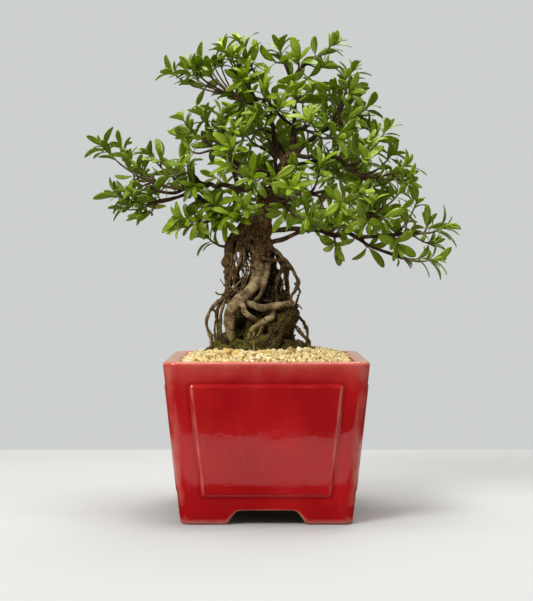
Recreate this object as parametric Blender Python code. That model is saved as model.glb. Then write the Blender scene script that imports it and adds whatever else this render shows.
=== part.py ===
"""Satsuki azalea bonsai with exposed roots, growing in a square glazed pot.

Metres, +Z up. The origin is on the ground under the middle of the pot, and the front faces -Y.
"""

import math
import random

import bmesh
import bpy
from mathutils import Matrix, Vector
from mathutils.bvhtree import BVHTree

MM = 0.001
UP = Vector((0, 0, 1))
SEED = 11

# Pot: driving dimensions
POT_RIM = 200 * MM
POT_BASE = 168 * MM
POT_HEIGHT = 158.6 * MM
WALL = 14 * MM
RIM_CORNER = 13 * MM
BASE_CORNER = 11 * MM
EDGE_ROUND = 3 * MM
FLOOR_UNDER = 14 * MM
FLOOR_THICK = 10 * MM
ARCH_BASE = 79 * MM
ARCH_TOP = 59 * MM
ARCH_CORNER = 4 * MM
PANEL_TOP_Z = 137 * MM
PANEL_LOW_Z = 27.5 * MM
PANEL_TOP_WIDTH = 149 * MM
PANEL_LOW_WIDTH = 125.6 * MM
PANEL_PROUD = 2 * MM
PANEL_SLOPE = 3 * MM
PANEL_CORNER = 3.5 * MM
PANEL_ROOT = 1.5 * MM
PANEL_LIP = 0.3 * MM
CAVITY_LIP = 1.2 * MM
DRAIN_HOLE = 26 * MM
DRAIN_SIDES = 16
CORNER_STEPS = 3
CUT_OVER = 2 * MM

# Drain mesh and soil
GAP = 0.3 * MM
MESH_WIDTH = 44 * MM
MESH_THICK = 1.2 * MM
MESH_HOLES = 3
MESH_BAR = 3 * MM
SOIL_EDGE_Z = 155 * MM
SOIL_RISE = 12 * MM
SOIL_CELLS = 18
GRAIN_RELIEF = 1.3 * MM
SOIL_GAP = 0.5 * MM
MESH_CLEAR = 1 * MM

# Root ball: its middle, and its half sizes along X and Y by height
BALL_MIDDLE = Vector((-8 * MM, 0, 0))
BALL_RINGS = (
    (92 * MM, 38 * MM, 31 * MM),
    (124 * MM, 50 * MM, 41 * MM),
    (160 * MM, 60 * MM, 49 * MM),
    (163.5 * MM, 50 * MM, 40 * MM),
    (167 * MM, 30 * MM, 24 * MM),
)
BALL_SIDES = 14
BALL_GAP = 0.5 * MM

# Routes of roots and limbs are read in the front view, in the plane of the trunk, from this eye
EYE_DISTANCE = 1450
EYE_HEIGHT = 244

# Leaves and stems
LEAF_LENGTH = 23 * MM
LEAF_SLENDER = 0.33
LEAF_KEEL = 1.3 * MM
LEAF_STATIONS = ((0.36, 0.8), (0.7, 1.0))
LEAF_ARCH = 0.1
LEAF_CLEAR = 0.4 * MM
LEAVES_AT_TIP = 4
LEAVES_AT_SIDE = 3
STEM_SIDES = 4
TURN = math.radians(137.5)
STEM_RADIUS = 1.2 * MM
STEM_TIP_RADIUS = 0.9 * MM
TWIG_FOOT = 1.25
WOODY_SHARE = 0.45
WOODY_LEAST = 5 * MM
SHOOT_BEND = 0.35
WHORL_REACH = 7 * MM
WHORL_DEPTH = 4.5 * MM

# Spacing of the rings of roots and limbs
ROOT_STEP = 15 * MM
LIMB_STEP = 20 * MM

# Trunk: (x, y, z, radius) in mm, from its main root in the root ball to the fork at the top
TRUNK = (
    (-35, -27, 156, 5.4), (-37, -27, 183, 5.6), (-41, -26, 193, 5.8), (-39, -26, 204, 6), (-33, -26, 213.5, 6),
    (-23, -24, 221, 6.1), (-13, -19, 230.5, 6.2), (-9, -14, 240, 6.6), (-8, -8, 256, 8), (-6, -3, 272, 9.4),
    (-4.5, 0, 291, 10), (-4, 0, 307, 9.4), (0.7, 0, 317, 8), (4.9, 0, 325, 6), (7, 0, 333, 4.9),
    (11, 0, 343, 4.7), (21.6, 0, 360, 5), (26.8, 0, 370.5, 4.4), (27.8, 0, 389, 2.6), (28.9, 0, 417, 2.1),
    (27.8, 0, 431, 1.9), (23.5, 0, 444, 1.6),
)

# Matted fine roots in the middle of the tangle: (x, y, z, radius) in mm
MAT = (
    (-2, 0, 160, 32), (-2, 0, 184, 25.5), (0, 1, 207, 19), (3, 3, 229, 11), (2, 4, 250, 5.5), (-3, 0, 275, 5),
)

# Roots: first radius, last radius, then (x, y, z), all in mm
ROOTS = {
    "front_inner": (2.9, 2.4, (
        (1, -4, 270), (1.8, -13, 253), (0.7, -18, 242), (-3.4, -20, 229), (-7.6, -22, 219), (-17, -22, 212))),
    "wrapping": (2.4, 2.2, (
        (-19, -5, 276), (-14, -12, 266), (-5.5, -17, 260), (5, -16, 256.5), (13, -12, 257), (21, -8, 255))),
    "right_long": (3.3, 1.5, (
        (-1, -1, 276), (5, -4, 269), (13, -6, 262), (21.6, -8, 253), (27, -10, 246), (30, -10, 240),
        (33, -10, 234), (29, -12, 225), (25, -14, 219), (26, -12, 208))),
    "right_side": (1.4, 1.2, ((31, -10, 238), (32, -8, 229.5), (34, -6, 224), (31, -6, 215), (27, -8, 205))),
    "right_inner": (2.3, 2, ((18, -6, 257), (21.6, -2, 246), (20.5, 2, 238), (21.6, 4, 227), (20, 4, 208))),
    "right_hidden": (2.2, 2, ((14, -6, 258), (15, -7, 250), (12, -7, 242), (10, -8, 226), (12, -10, 208))),
    "level": (3.4, 2.4, (
        (-24, -20, 214), (-14.5, -28, 211), (-5.5, -31, 208), (8, -31, 209.6), (21, -27, 211.6),
        (29, -20, 211), (29, -14, 205), (22, -6, 196))),
    "small_arch": (2.6, 2.2, (
        (-29, -25, 217), (-24, -31, 210), (-22, -33, 203), (-15.5, -31, 198), (-10, -19, 194))),
    "low_front": (3.6, 1.6, (
        (9, -12, 210), (7, -26, 204), (5, -33, 198), (-3.4, -36, 194), (-10, -37, 190), (-16, -38, 184),
        (-18, -38, 178), (-18, -36, 156))),
    "low_right_thin": (1.6, 1.4, (
        (26, -18, 212), (28, -14, 204), (35, -12, 197), (40, -10, 189), (42, -10, 182), (40, -10, 156))),
    "low_right_thick": (2.5, 1.9, (
        (10, -10, 204), (24, -20, 194), (33, -24, 185), (39, -22, 178), (44, -18, 172), (41, -17, 156))),
    "low_left": (2.1, 1.7, (
        (-35, -10, 227), (-42, -12, 219), (-50, -14, 214), (-57.6, -16, 205), (-61, -16, 196), (-61, -16, 188),
        (-57, -16, 179), (-54, -16, 156))),
    "low_left_side": (1.4, 1.3, (
        (-56, -16, 208), (-53, -13, 204), (-50, -10, 198), (-53, -8, 189), (-51, -8, 156))),
    "low_left_inner": (1.7, 1.6, ((-42, -12, 217), (-45, -15, 207), (-47, -17, 196), (-46, -17, 156))),
    "shoulder": (9.5, 4.8, ((-7, 0, 302), (-18, -2, 294), (-28, -4, 284), (-33, -5, 268))),
    "shoulder_inner": (9, 3.6, ((-5, 0, 293), (-14, -2, 284), (-21, -4, 270))),
    "left_shoulder": (4.6, 3.4, (
        (-26, -4, 288), (-32, -6, 283), (-36, -6, 272), (-38.5, -6, 255), (-38, -6, 237), (-37, -8, 219),
        (-35, -12, 206), (-34, -14, 156))),
    "left_curtain": (2.2, 2, (
        (-24, -6, 289), (-29.5, -11, 275), (-31.6, -13, 260), (-34, -12, 242), (-31, -13, 226), (-24, -18, 213))),
    "left_thin": (1.7, 1.5, (
        (-17, -6, 284), (-20, -9, 271), (-25.5, -8, 255), (-24, -6, 239), (-20, -8, 226), (-12, -8, 210))),
    "left_behind": (3.2, 2.8, (
        (-16, 4, 288), (-27, 13, 276), (-31, 18, 258), (-27, 20, 238), (-31, 20, 217), (-27, 18, 190),
        (-26, 18, 156))),
    "back_main": (4.8, 3.8, (
        (-3, 2, 278), (4, 13, 256), (14, 23, 236), (21, 29, 216), (17, 33, 196), (23, 33, 156))),
    "back_left": (3.6, 3, (
        (-12, 4, 284), (-19, 15, 258), (-13, 23, 237), (-23, 29, 216), (-31, 31, 195), (-27, 32, 156))),
    "back_right": (2.7, 2.2, (
        (6, 4, 270), (17, 14, 246), (22, 21, 226), (24, 24, 206), (25, 25, 190), (30, 24, 156))),
    "back_low_left": (2.3, 2, ((-31, 12, 240), (-43, 16, 221), (-51, 19, 203), (-49, 19, 187), (-50, 20, 156))),
    "back_middle": (2.7, 2.3, (
        (2, 12, 258), (-4, 24, 234), (4, 33, 214), (-6, 37, 200), (-2, 39, 184), (-8, 38, 156))),
}

# Limbs: first radius, last radius, then (x, y, z), all in mm
LIMBS = {
    "left_upper": (3.1, 1.9, (
        (0, 0, 321), (-15, 2, 327), (-27, 4, 329.5), (-44, 6, 333.6), (-51.4, 8, 331.6), (-58.7, 10, 334.7),
        (-66, 12, 328.4), (-74.3, 14, 329.5), (-83, 18, 332.6), (-92, 22, 339))),
    "left_lower": (3, 2, (
        (-12, -1, 294), (-26, -4, 298), (-41, -8, 302.4), (-51.4, -6, 307.6), (-61, 0, 315), (-70, 8, 321),
        (-77.4, 14, 326.4), (-81, 17, 331))),
    "left_arm_low": (1.9, 1.6, ((-78, 13, 326), (-88, 16, 322), (-100, 24, 318), (-114, 34, 315))),
    "left_arm_high": (1.9, 1.6, ((-82, 17, 331), (-93, 16, 325.5), (-106.6, 14, 326.4), (-117.5, 16, 330.5))),
    "left_stump": (2.7, 2.3, ((-31.6, 5, 318), (-30.5, 5, 336), (-34.7, 6, 350))),
    "left_riser": (1.9, 1.6, ((-60, 10, 333), (-71, 4, 338), (-78.5, -2, 344))),
    "left_hanger": (1.9, 1.6, ((-50, -6, 307), (-56.6, -14, 298), (-68, -20, 294))),
    "left_middle": (2.9, 1.7, (
        (8, 0, 333), (-4.5, -8, 346), (-19, -16, 349), (-35.7, -22, 358.7), (-50, -27, 368.5), (-62, -31, 377.5))),
    "left_middle_fork": (1.8, 1.6, ((-34, -21, 357), (-43.6, -18, 373), (-51, -16, 384.5))),
    "top_left": (2.5, 1.7, (
        (18, 0, 356), (9, 4, 372), (6, 8, 396), (-4.5, 6, 409), (-15, 2, 428), (-22, 0, 439))),
    "top_left_arm": (1.8, 1.6, ((-8, 5, 415), (-25, 8, 419), (-43, 13, 428.5))),
    "top_left_back": (1.9, 1.6, ((6, 8, 394), (3, 14, 419), (-4.5, 16, 441))),
    "inner": (1.9, 1.6, ((12, -1, 346), (9, -8, 356), (7, -9, 370), (2, -10, 380))),
    "inner_top": (1.8, 1.6, ((27.5, 0, 393), (15, -6, 403), (6, -12, 413))),
    "top": (1.8, 1.6, ((25, 0, 440), (20, -1, 455))),
    "top_right": (1.9, 1.6, ((25, 0, 439), (35.6, -4, 453.5), (47, -6, 460.5))),
    "right_upper": (3, 1.7, (
        (23, 0, 361), (30, -2, 364), (36, -4, 372), (53, -10, 385.7), (67.4, -14, 397), (73, -14, 404),
        (78, -12, 415))),
    "right_upper_back": (1.8, 1.6, ((53, -9, 385.7), (70, 8, 394), (84, 18, 402))),
    "right_middle": (2.5, 1.6, (
        (25, 0, 366), (40, -6, 362), (56, -14, 364), (74.7, -22, 360), (82, -26, 351.5), (91.4, -28, 345),
        (102, -28, 340), (114.8, -26, 345))),
    "right_riser": (1.8, 1.6, ((82, -26, 352), (97.6, -18, 358.7), (107, -16, 368))),
    "right_low": (2.9, 1.6, (
        (-3, 0, 286), (16.4, -10, 287.8), (28, -12, 288.8), (40, -14, 287.8), (52, -14, 287.8), (61, -16, 284.7),
        (70.5, -18, 281.5), (82, -20, 284.7), (92.4, -22, 280.5), (102, -24, 280.5), (119.5, -26, 281.5),
        (139, -28, 283.6), (155, -31, 285))),
    "right_low_root": (2.8, 2.2, (
        (-1, -2, 273), (8, -7, 276), (17, -10, 278), (28, -12, 283), (38, -14, 287.5))),
    "right_low_fork": (1.9, 1.6, ((70, -18, 282), (85, -26, 290), (98.7, -32, 298), (112, -35, 309))),
    "right_whip": (1.7, 1.5, ((90, -21, 281), (106, -26, 271), (121.6, -32, 265), (139, -38, 258.6))),
    "right_low_back": (2.1, 1.6, ((52, -14, 287.5), (66, 6, 294), (84, 24, 300), (100, 34, 303))),
    "front_right": (2.4, 1.6, ((6, 0, 330), (24, -18, 326), (42, -36, 324), (58, -52, 327))),
    "front_low": (2.2, 1.6, ((3, -2, 320), (13, -26, 316), (25, -50, 312))),
    "front_left": (2.2, 1.6, ((8, -1, 339), (2, -28, 345), (-8, -58, 349))),
    "front_top": (1.9, 1.6, ((27.5, -1, 386), (34, -22, 391), (43, -42, 394))),
    "back_top": (2.1, 1.6, ((21, 2, 359), (15, 22, 372), (6, 40, 382))),
    "back_right": (2.3, 1.6, ((22, 2, 353), (40, 26, 356), (56, 46, 361))),
    "back_left": (2.3, 1.6, ((6, 2, 331), (-2, 24, 330), (-18, 46, 332))),
    "back_low": (2.3, 1.6, ((3, 2, 321), (22, 26, 318), (42, 48, 314))),
    "back_high": (1.7, 1.5, ((28.5, 0, 412), (30, 14, 420), (33, 28, 424))),
}

# Sprays by part of the crown: the limb each one grows from, then the middles of its whorls of leaves in mm
SPRAYS = {
    "left_arm": (
        ("left_arm_high", (-170, 52, 377), (-134, 30, 345)),
        ("left_arm_low", (-157, 46, 325), (-131, 38, 311)),
        ("left_upper", (-122, 18, 369), (-107.6, 8, 364)),
        ("left_riser", (-81.6, -10, 361), (-106, -8, 345)),
        ("left_upper", (-97, 46, 352)),
    ),
    "left_low": (
        ("left_hanger", (-90, -36, 301), (-72, -26, 303)),
        ("left_shoulder", (-64, -18, 284)),
        ("left_lower", (-55, -22, 318)),
        ("left_lower", (-23, -36, 313)),
    ),
    "left_middle": (
        ("left_middle", (-88, -46, 405), (-84, -34, 390)),
        ("left_middle_fork", (-64, -14, 407), (-45, -4, 411)),
        ("left_middle", (-82, -48, 371)),
        ("inner", (-24, -32, 389)),
        ("left_middle", (-36, -50, 375)),
        ("top_left", (-50, 34, 392)),
        ("front_left", (-17, -107, 344), (-42, -86, 357)),
    ),
    "top_left": (
        ("top_left_arm", (-79.5, 22, 457), (-66, 30, 434)),
        ("top_left", (-38, -6, 470), (-28, -18, 443)),
        ("top_left_back", (-26, 14, 482), (-13, 4, 464)),
        ("inner_top", (-4.5, -30, 433)),
        ("top_left_back", (-20, 46, 426)),
    ),
    "top": (
        ("top", (12, -2, 477), (4, -10, 463)),
        ("top_right", (69.5, -8, 481), (49, 4, 471)),
        ("top_right", (33, -18, 466), (47, -34, 441)),
    ),
    "right_upper": (
        ("right_upper", (88, -6, 455), (86, -18, 433)),
        ("right_upper", (89, -34, 406), (62, -28, 428)),
        ("right_upper_back", (106, 28, 417), (72, 46, 416)),
        ("right_riser", (123.7, -12, 394), (110, 6, 385)),
        ("front_top", (76, -64, 385), (44, -62, 404)),
    ),
    "right_middle": (
        ("right_middle", (146, -26, 357), (148, -42, 340)),
        ("right_middle", (131, -6, 369)),
        ("right_middle", (103, -50, 363)),
        ("right_low_fork", (139, -42, 330)),
        ("right_middle", (116, -14, 328)),
        ("front_right", (98.7, -88, 329), (75, -90, 319)),
        ("front_right", (56, -70, 358)),
        ("right_low_fork", (124.7, -50, 304), (98, -58, 300)),
        ("right_low_back", (143, 42, 313), (122, 14, 292)),
    ),
    "right_low": (
        ("right_low", (186, -40, 294), (165, -26, 297)),
        ("right_whip", (177, -50, 260)),
        ("right_low", (137, -44, 275)),
        ("right_low", (109, -10, 270)),
        ("right_low", (73, -32, 271)),
        ("right_low", (78, -46, 300)),
        ("front_low", (45.5, -95, 303)),
        ("front_low", (27, -78, 334)),
    ),
    "back": (
        ("back_top", (-12, 86, 398), (10, 66, 372)),
        ("back_right", (86, 99, 376), (60, 76, 350)),
        ("back_left", (-54, 99, 344), (-24, 74, 320)),
        ("back_low", (84, 99, 318), (46, 76, 298)),
        ("back_high", (42, 62, 424), (20, 32, 436)),
    ),
}


def seen(x, y, z):
    """Point in metres that looks from the front to be at x, z in the trunk's plane, but lies at depth y."""
    reach = (EYE_DISTANCE + y) / EYE_DISTANCE
    return Vector((x * reach, y, EYE_HEIGHT + (z - EYE_HEIGHT) * reach)) * MM


def clear_scene():
    """Remove every object of the scene that the script starts in."""
    for item in list(bpy.data.objects):
        bpy.data.objects.remove(item, do_unlink=True)


def finish(name, colour, roughness):
    """Principled material of one colour."""
    material = bpy.data.materials.new(name)
    material.use_nodes = True
    shader = material.node_tree.nodes["Principled BSDF"]
    shader.inputs["Base Color"].default_value = (*colour, 1)
    shader.inputs["Roughness"].default_value = roughness
    shader.inputs["Metallic"].default_value = 0
    return material


def add_object(name, points, faces, material=None):
    """New object from points and faces, with all faces turned outwards."""
    mesh = bpy.data.meshes.new(name)
    mesh.from_pydata([tuple(point) for point in points], [], faces)
    if material:
        mesh.materials.append(material)
    form = bmesh.new()
    form.from_mesh(mesh)
    bmesh.ops.recalc_face_normals(form, faces=form.faces)
    form.to_mesh(mesh)
    form.free()
    item = bpy.data.objects.new(name, mesh)
    bpy.context.scene.collection.objects.link(item)
    return item


def loft(rings):
    """Points and faces of the closed solid through rings of equally many points."""
    count = len(rings[0])
    points = [point for ring in rings for point in ring]
    faces = [tuple(range(count)), tuple(range(len(points) - count, len(points)))]
    for row in range(len(rings) - 1):
        for i in range(count):
            j = (i + 1) % count
            faces.append((row * count + i, row * count + j, (row + 1) * count + j, (row + 1) * count + i))
    return points, faces


def combine(base, others, operation, solver="EXACT"):
    """Join the others to the base, or cut them from it, for good."""
    group = bpy.data.collections.new("operands")
    bpy.context.scene.collection.children.link(group)
    for other in others:
        group.objects.link(other)
    modifier = base.modifiers.new(operation, "BOOLEAN")
    modifier.operation = operation
    modifier.operand_type = "COLLECTION"
    modifier.collection = group
    modifier.solver = solver
    bpy.context.view_layer.update()
    evaluated = base.evaluated_get(bpy.context.evaluated_depsgraph_get())
    result = bpy.data.meshes.new_from_object(evaluated)
    base.modifiers.clear()
    base.data = result
    for other in others:
        bpy.data.objects.remove(other, do_unlink=True)
    bpy.data.collections.remove(group)
    return base


def pot_half(z):
    """Half the pot's outer width at height z."""
    return (POT_BASE + (POT_RIM - POT_BASE) * z / POT_HEIGHT) / 2


def pot_corner(z):
    """Radius of the pot's upright edges at height z."""
    return BASE_CORNER + (RIM_CORNER - BASE_CORNER) * z / POT_HEIGHT


def rounded_square(half, radius, z):
    """Ring of points round a square with rounded corners, at height z."""
    ring = []
    for corner in range(4):
        turn = math.pi / 2 * corner
        middle = Matrix.Rotation(turn, 2) @ Vector((half - radius, half - radius))
        for step in range(CORNER_STEPS + 1):
            angle = turn + math.pi / 2 * step / CORNER_STEPS
            ring.append(Vector((middle.x + radius * math.cos(angle), middle.y + radius * math.sin(angle), z)))
    return ring


def pot_panel(turn):
    """Raised panel of one face, sunk a little in the wall that it stands on."""
    rings = []
    for inset, out in ((0, -PANEL_ROOT), (0, PANEL_LIP), (PANEL_SLOPE, PANEL_PROUD)):
        ring = []
        corner = PANEL_CORNER - inset / 2
        outline = (
            (PANEL_LOW_WIDTH / 2, PANEL_LOW_Z, 1, -1), (PANEL_TOP_WIDTH / 2, PANEL_TOP_Z, 1, 1),
            (-PANEL_TOP_WIDTH / 2, PANEL_TOP_Z, -1, 1), (-PANEL_LOW_WIDTH / 2, PANEL_LOW_Z, -1, -1))
        for index, (x, z, side, rise) in enumerate(outline):
            middle = Vector((x - side * (inset + corner), z - rise * (inset + corner)))
            for step in range(3):
                angle = math.pi / 2 * (index - 1) + math.pi / 4 * step
                across = middle.x + corner * math.cos(angle)
                height = middle.y + corner * math.sin(angle)
                ring.append(Matrix.Rotation(turn, 3, "Z") @ Vector((across, -pot_half(height) - out, height)))
        rings.append(ring)
    return add_object("panel", *loft(rings))


def foot_arch(turn):
    """Cutter for the arches between the feet, right through the pot, along Y before it is turned."""
    lean = (ARCH_BASE - ARCH_TOP) / 2
    foot = ARCH_BASE / 2 + lean * CUT_OVER / FLOOR_UNDER
    outline = [(-foot, -CUT_OVER), (foot, -CUT_OVER)]
    slope = math.atan2(FLOOR_UNDER, lean)
    for side in (1, -1):
        arc = []
        for step in range(4):
            angle = (math.pi / 2 - slope) + slope * step / 3
            arc.append((
                side * (ARCH_TOP / 2 - ARCH_CORNER / 2 + ARCH_CORNER * math.cos(angle)),
                FLOOR_UNDER - ARCH_CORNER + ARCH_CORNER * math.sin(angle)))
        outline += arc if side == 1 else arc[::-1]
    rings = []
    for y in (-POT_RIM, POT_RIM):
        rings.append([Matrix.Rotation(turn, 3, "Z") @ Vector((x, y, z)) for x, z in outline])
    return add_object("arch", *loft(rings))


def make_pot(material):
    """Pot with its panels, cavity, feet and drain hole."""
    profile = (
        (0, EDGE_ROUND * 0.8), (EDGE_ROUND * 0.3, EDGE_ROUND * 0.25), (EDGE_ROUND, 0),
        (POT_HEIGHT - EDGE_ROUND, 0), (POT_HEIGHT - EDGE_ROUND * 0.3, EDGE_ROUND * 0.3),
        (POT_HEIGHT, EDGE_ROUND))
    rings = [rounded_square(pot_half(z) - inset, pot_corner(z) - inset / 2, z) for z, inset in profile]
    pot = add_object("pot", *loft(rings), material)
    combine(pot, [pot_panel(math.pi / 2 * side) for side in range(4)], "UNION")

    floor_top = FLOOR_UNDER + FLOOR_THICK
    over = POT_HEIGHT + CUT_OVER
    cavity = [
        rounded_square(pot_half(z) - WALL + flare, pot_corner(z) - flare / 2, z)
        for z, flare in ((floor_top, 0), (POT_HEIGHT - CAVITY_LIP, 0), (over, CAVITY_LIP + CUT_OVER))]
    under = POT_BASE / 2 - WALL
    recess = [rounded_square(under, BASE_CORNER / 2, z) for z in (-CUT_OVER, FLOOR_UNDER)]
    drain = []
    for z in (FLOOR_UNDER - CUT_OVER, floor_top + CUT_OVER):
        angles = [math.tau * i / DRAIN_SIDES for i in range(DRAIN_SIDES)]
        drain.append([Vector((math.cos(a), math.sin(a), 0)) * DRAIN_HOLE / 2 + UP * z for a in angles])
    cutters = [add_object("cutter", *loft(rings)) for rings in (cavity, recess, drain)]
    cutters += [foot_arch(0), foot_arch(math.pi / 2)]
    for cutter in cutters:
        combine(pot, [cutter], "DIFFERENCE")
    return pot


def make_drain_mesh(material):
    """Square net over the drain hole: bars both ways, round square holes."""
    pitch = (MESH_WIDTH - MESH_BAR) / MESH_HOLES
    edges = []
    for i in range(MESH_HOLES + 1):
        edges += [-MESH_WIDTH / 2 + pitch * i, -MESH_WIDTH / 2 + pitch * i + MESH_BAR]
    low = FLOOR_UNDER + FLOOR_THICK + GAP
    form = bmesh.new()
    for i in range(len(edges) - 1):
        for j in range(len(edges) - 1):
            if i % 2 and j % 2:
                continue
            corners = ((i, j), (i + 1, j), (i + 1, j + 1), (i, j + 1))
            form.faces.new([form.verts.new((edges[a], edges[b], low)) for a, b in corners])
    bmesh.ops.remove_doubles(form, verts=form.verts, dist=0.01 * MM)
    raised = bmesh.ops.extrude_face_region(form, geom=form.faces[:])["geom"]
    lifted = [item for item in raised if isinstance(item, bmesh.types.BMVert)]
    bmesh.ops.translate(form, verts=lifted, vec=UP * MESH_THICK)
    bmesh.ops.recalc_face_normals(form, faces=form.faces)
    mesh = bpy.data.meshes.new("drain_mesh")
    form.to_mesh(mesh)
    form.free()
    mesh.materials.append(material)
    item = bpy.data.objects.new("drain_mesh", mesh)
    bpy.context.scene.collection.objects.link(item)
    return item


def ball_rings(grow):
    """Rings of the root ball, larger by grow, each a soft oblong."""
    rings = []
    for z, half_x, half_y in BALL_RINGS:
        ring = []
        for i in range(BALL_SIDES):
            angle = math.tau * i / BALL_SIDES
            cos, sin = math.cos(angle), math.sin(angle)
            x = math.copysign(abs(cos) ** 0.8, cos) * (half_x + grow)
            y = math.copysign(abs(sin) ** 0.8, sin) * (half_y + grow)
            ring.append(BALL_MIDDLE + Vector((x, y, z)))
        rings.append(ring)
    return rings


def make_soil(material):
    """Fill of the pot with a grainy top, a plain hole for the root ball and a recess over the mesh."""
    rng = random.Random(SEED)
    low = FLOOR_UNDER + FLOOR_THICK + GAP
    inner_top = pot_half(SOIL_EDGE_Z) - WALL - SOIL_GAP
    inner_low = pot_half(low) - WALL - SOIL_GAP
    corner = pot_corner(SOIL_EDGE_Z) + SOIL_GAP

    def place(u, v, half, z):
        point = Vector((u, v)) * half
        core = half - corner
        over = Vector((max(abs(point.x) - core, 0), max(abs(point.y) - core, 0)))
        if over.x and over.y and over.length > corner:
            over *= corner / over.length
            point.x = math.copysign(core + over.x, point.x)
            point.y = math.copysign(core + over.y, point.y)
        return Vector((point.x, point.y, z))

    points, index = [], {}
    for i in range(SOIL_CELLS + 1):
        for j in range(SOIL_CELLS + 1):
            u, v = 2 * i / SOIL_CELLS - 1, 2 * j / SOIL_CELLS - 1
            edge = i in (0, SOIL_CELLS) or j in (0, SOIL_CELLS)
            if not edge:
                u += rng.uniform(-0.3, 0.3) / SOIL_CELLS
                v += rng.uniform(-0.3, 0.3) / SOIL_CELLS
            rise = SOIL_RISE * max(0, 1 - (u * u + v * v))
            index[i, j] = len(points)
            points.append(place(u, v, inner_top, SOIL_EDGE_Z + rise + rng.uniform(-1, 1) * GRAIN_RELIEF))
    faces = []
    for i in range(SOIL_CELLS):
        for j in range(SOIL_CELLS):
            corners = [index[i, j], index[i + 1, j], index[i + 1, j + 1], index[i, j + 1]]
            faces += [corners[:3], [corners[0], corners[2], corners[3]]]
    last = SOIL_CELLS
    rim = [(i, 0) for i in range(last)] + [(last, j) for j in range(last)]
    rim += [(last - i, last) for i in range(last)] + [(0, last - j) for j in range(last)]
    base = []
    for i, j in rim:
        base.append(len(points))
        points.append(place(2 * i / last - 1, 2 * j / last - 1, inner_low, low))
    for k in range(len(rim)):
        m = (k + 1) % len(rim)
        faces.append([index[rim[k]], index[rim[m]], base[m], base[k]])
    faces.append(base)
    soil = add_object("soil", points, faces, material)

    hole = ball_rings(BALL_GAP)[:3]
    hole[0] = [point - UP * BALL_GAP for point in hole[0]]
    hole.append([point + UP * SOIL_RISE * 2 for point in hole[2]])
    pocket = MESH_WIDTH / 2 + MESH_CLEAR
    recess = []
    for z in (low - MESH_CLEAR, low + MESH_THICK + GAP):
        recess.append([Vector((x * pocket, y * pocket, z)) for x, y in ((1, 1), (-1, 1), (-1, -1), (1, -1))])
    for rings in (hole, recess):
        combine(soil, [add_object("cutter", *loft(rings))], "DIFFERENCE")
    return soil


def smooth_path(points, spacing):
    """Points at an even spacing along the smooth curve through the given ones."""
    padded = [points[0] * 2 - points[1], *points, points[-1] * 2 - points[-2]]
    fine = []
    for i in range(1, len(padded) - 2):
        p0, p1, p2, p3 = padded[i - 1:i + 3]
        for step in range(8):
            t = step / 8
            fine.append((
                p1 * 2 + (p2 - p0) * t + (p0 * 2 - p1 * 5 + p2 * 4 - p3) * t * t
                + (p1 * 3 - p0 - p2 * 3 + p3) * t ** 3) / 2)
    fine.append(points[-1].copy())
    return even(fine, max(1, round(length_of(fine) / spacing)))


def length_of(path):
    """Length along a row of points."""
    return sum((b - a).length for a, b in zip(path, path[1:]))


def at_length(path, distance):
    """Point and direction of a path at a distance from its start."""
    for a, b in zip(path, path[1:]):
        step = (b - a).length
        if distance <= step:
            return a.lerp(b, distance / step), (b - a).normalized()
        distance -= step
    return path[-1].copy(), (path[-1] - path[-2]).normalized()


def even(path, parts):
    """Path cut in equal parts."""
    whole = length_of(path)
    return [at_length(path, whole * i / parts)[0] for i in range(parts + 1)]


def tube(path, radii, sides):
    """Points and faces of a round bar along a path, with flat ends square to it."""
    rings = []
    side = (path[1] - path[0]).orthogonal().normalized()
    for i, (point, radius) in enumerate(zip(path, radii)):
        if i == 0:
            along = path[1] - path[0]
        elif i == len(path) - 1:
            along = path[i] - path[i - 1]
        else:
            along = (path[i + 1] - path[i]).normalized() + (path[i] - path[i - 1]).normalized()
        along.normalize()
        side = (side - along * side.dot(along)).normalized()
        other = along.cross(side)
        angles = [math.tau * k / sides for k in range(sides)]
        rings.append([point + (side * math.cos(a) + other * math.sin(a)) * radius for a in angles])
    return loft(rings)


def tapered(path, first, last):
    """Radii that run evenly from first to last along a path."""
    return [first + (last - first) * i / (len(path) - 1) for i in range(len(path))]


def fork_start(path, tip):
    """Place on a path where a shoot that ends at tip leaves it, and the path's direction there."""
    whole = length_of(path)
    samples = [whole * i / 40 for i in range(41)]
    nearest = min(samples, key=lambda s: (at_length(path, s)[0] - tip).length)
    apart = (at_length(path, nearest)[0] - tip).length
    return at_length(path, min(max(nearest - 0.6 * apart, 0.15 * whole), 0.97 * whole))


def shoot_path(path, middle):
    """Curve of a shoot that leaves along its limb and turns up to the light, for a whorl with this middle."""
    start, heading = fork_start(path, middle)
    toward = (middle - start).normalized()
    tip = middle - (toward + UP * 0.5).normalized() * WHORL_REACH
    span = (tip - start).length
    leave = start + (heading + toward).normalized() * span * SHOOT_BEND
    arrive = tip - (toward * 2 + UP).normalized() * span * SHOOT_BEND
    curve = []
    for i in range(13):
        t = i / 12
        a, b, c = start.lerp(leave, t), leave.lerp(arrive, t), arrive.lerp(tip, t)
        curve.append(a.lerp(b, t).lerp(b.lerp(c, t), t))
    return curve


def part_of(path, begin, end, parts):
    """Stretch of a path between two distances from its start, cut in equal parts."""
    return [at_length(path, begin + (end - begin) * i / parts)[0] for i in range(parts + 1)]


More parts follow.
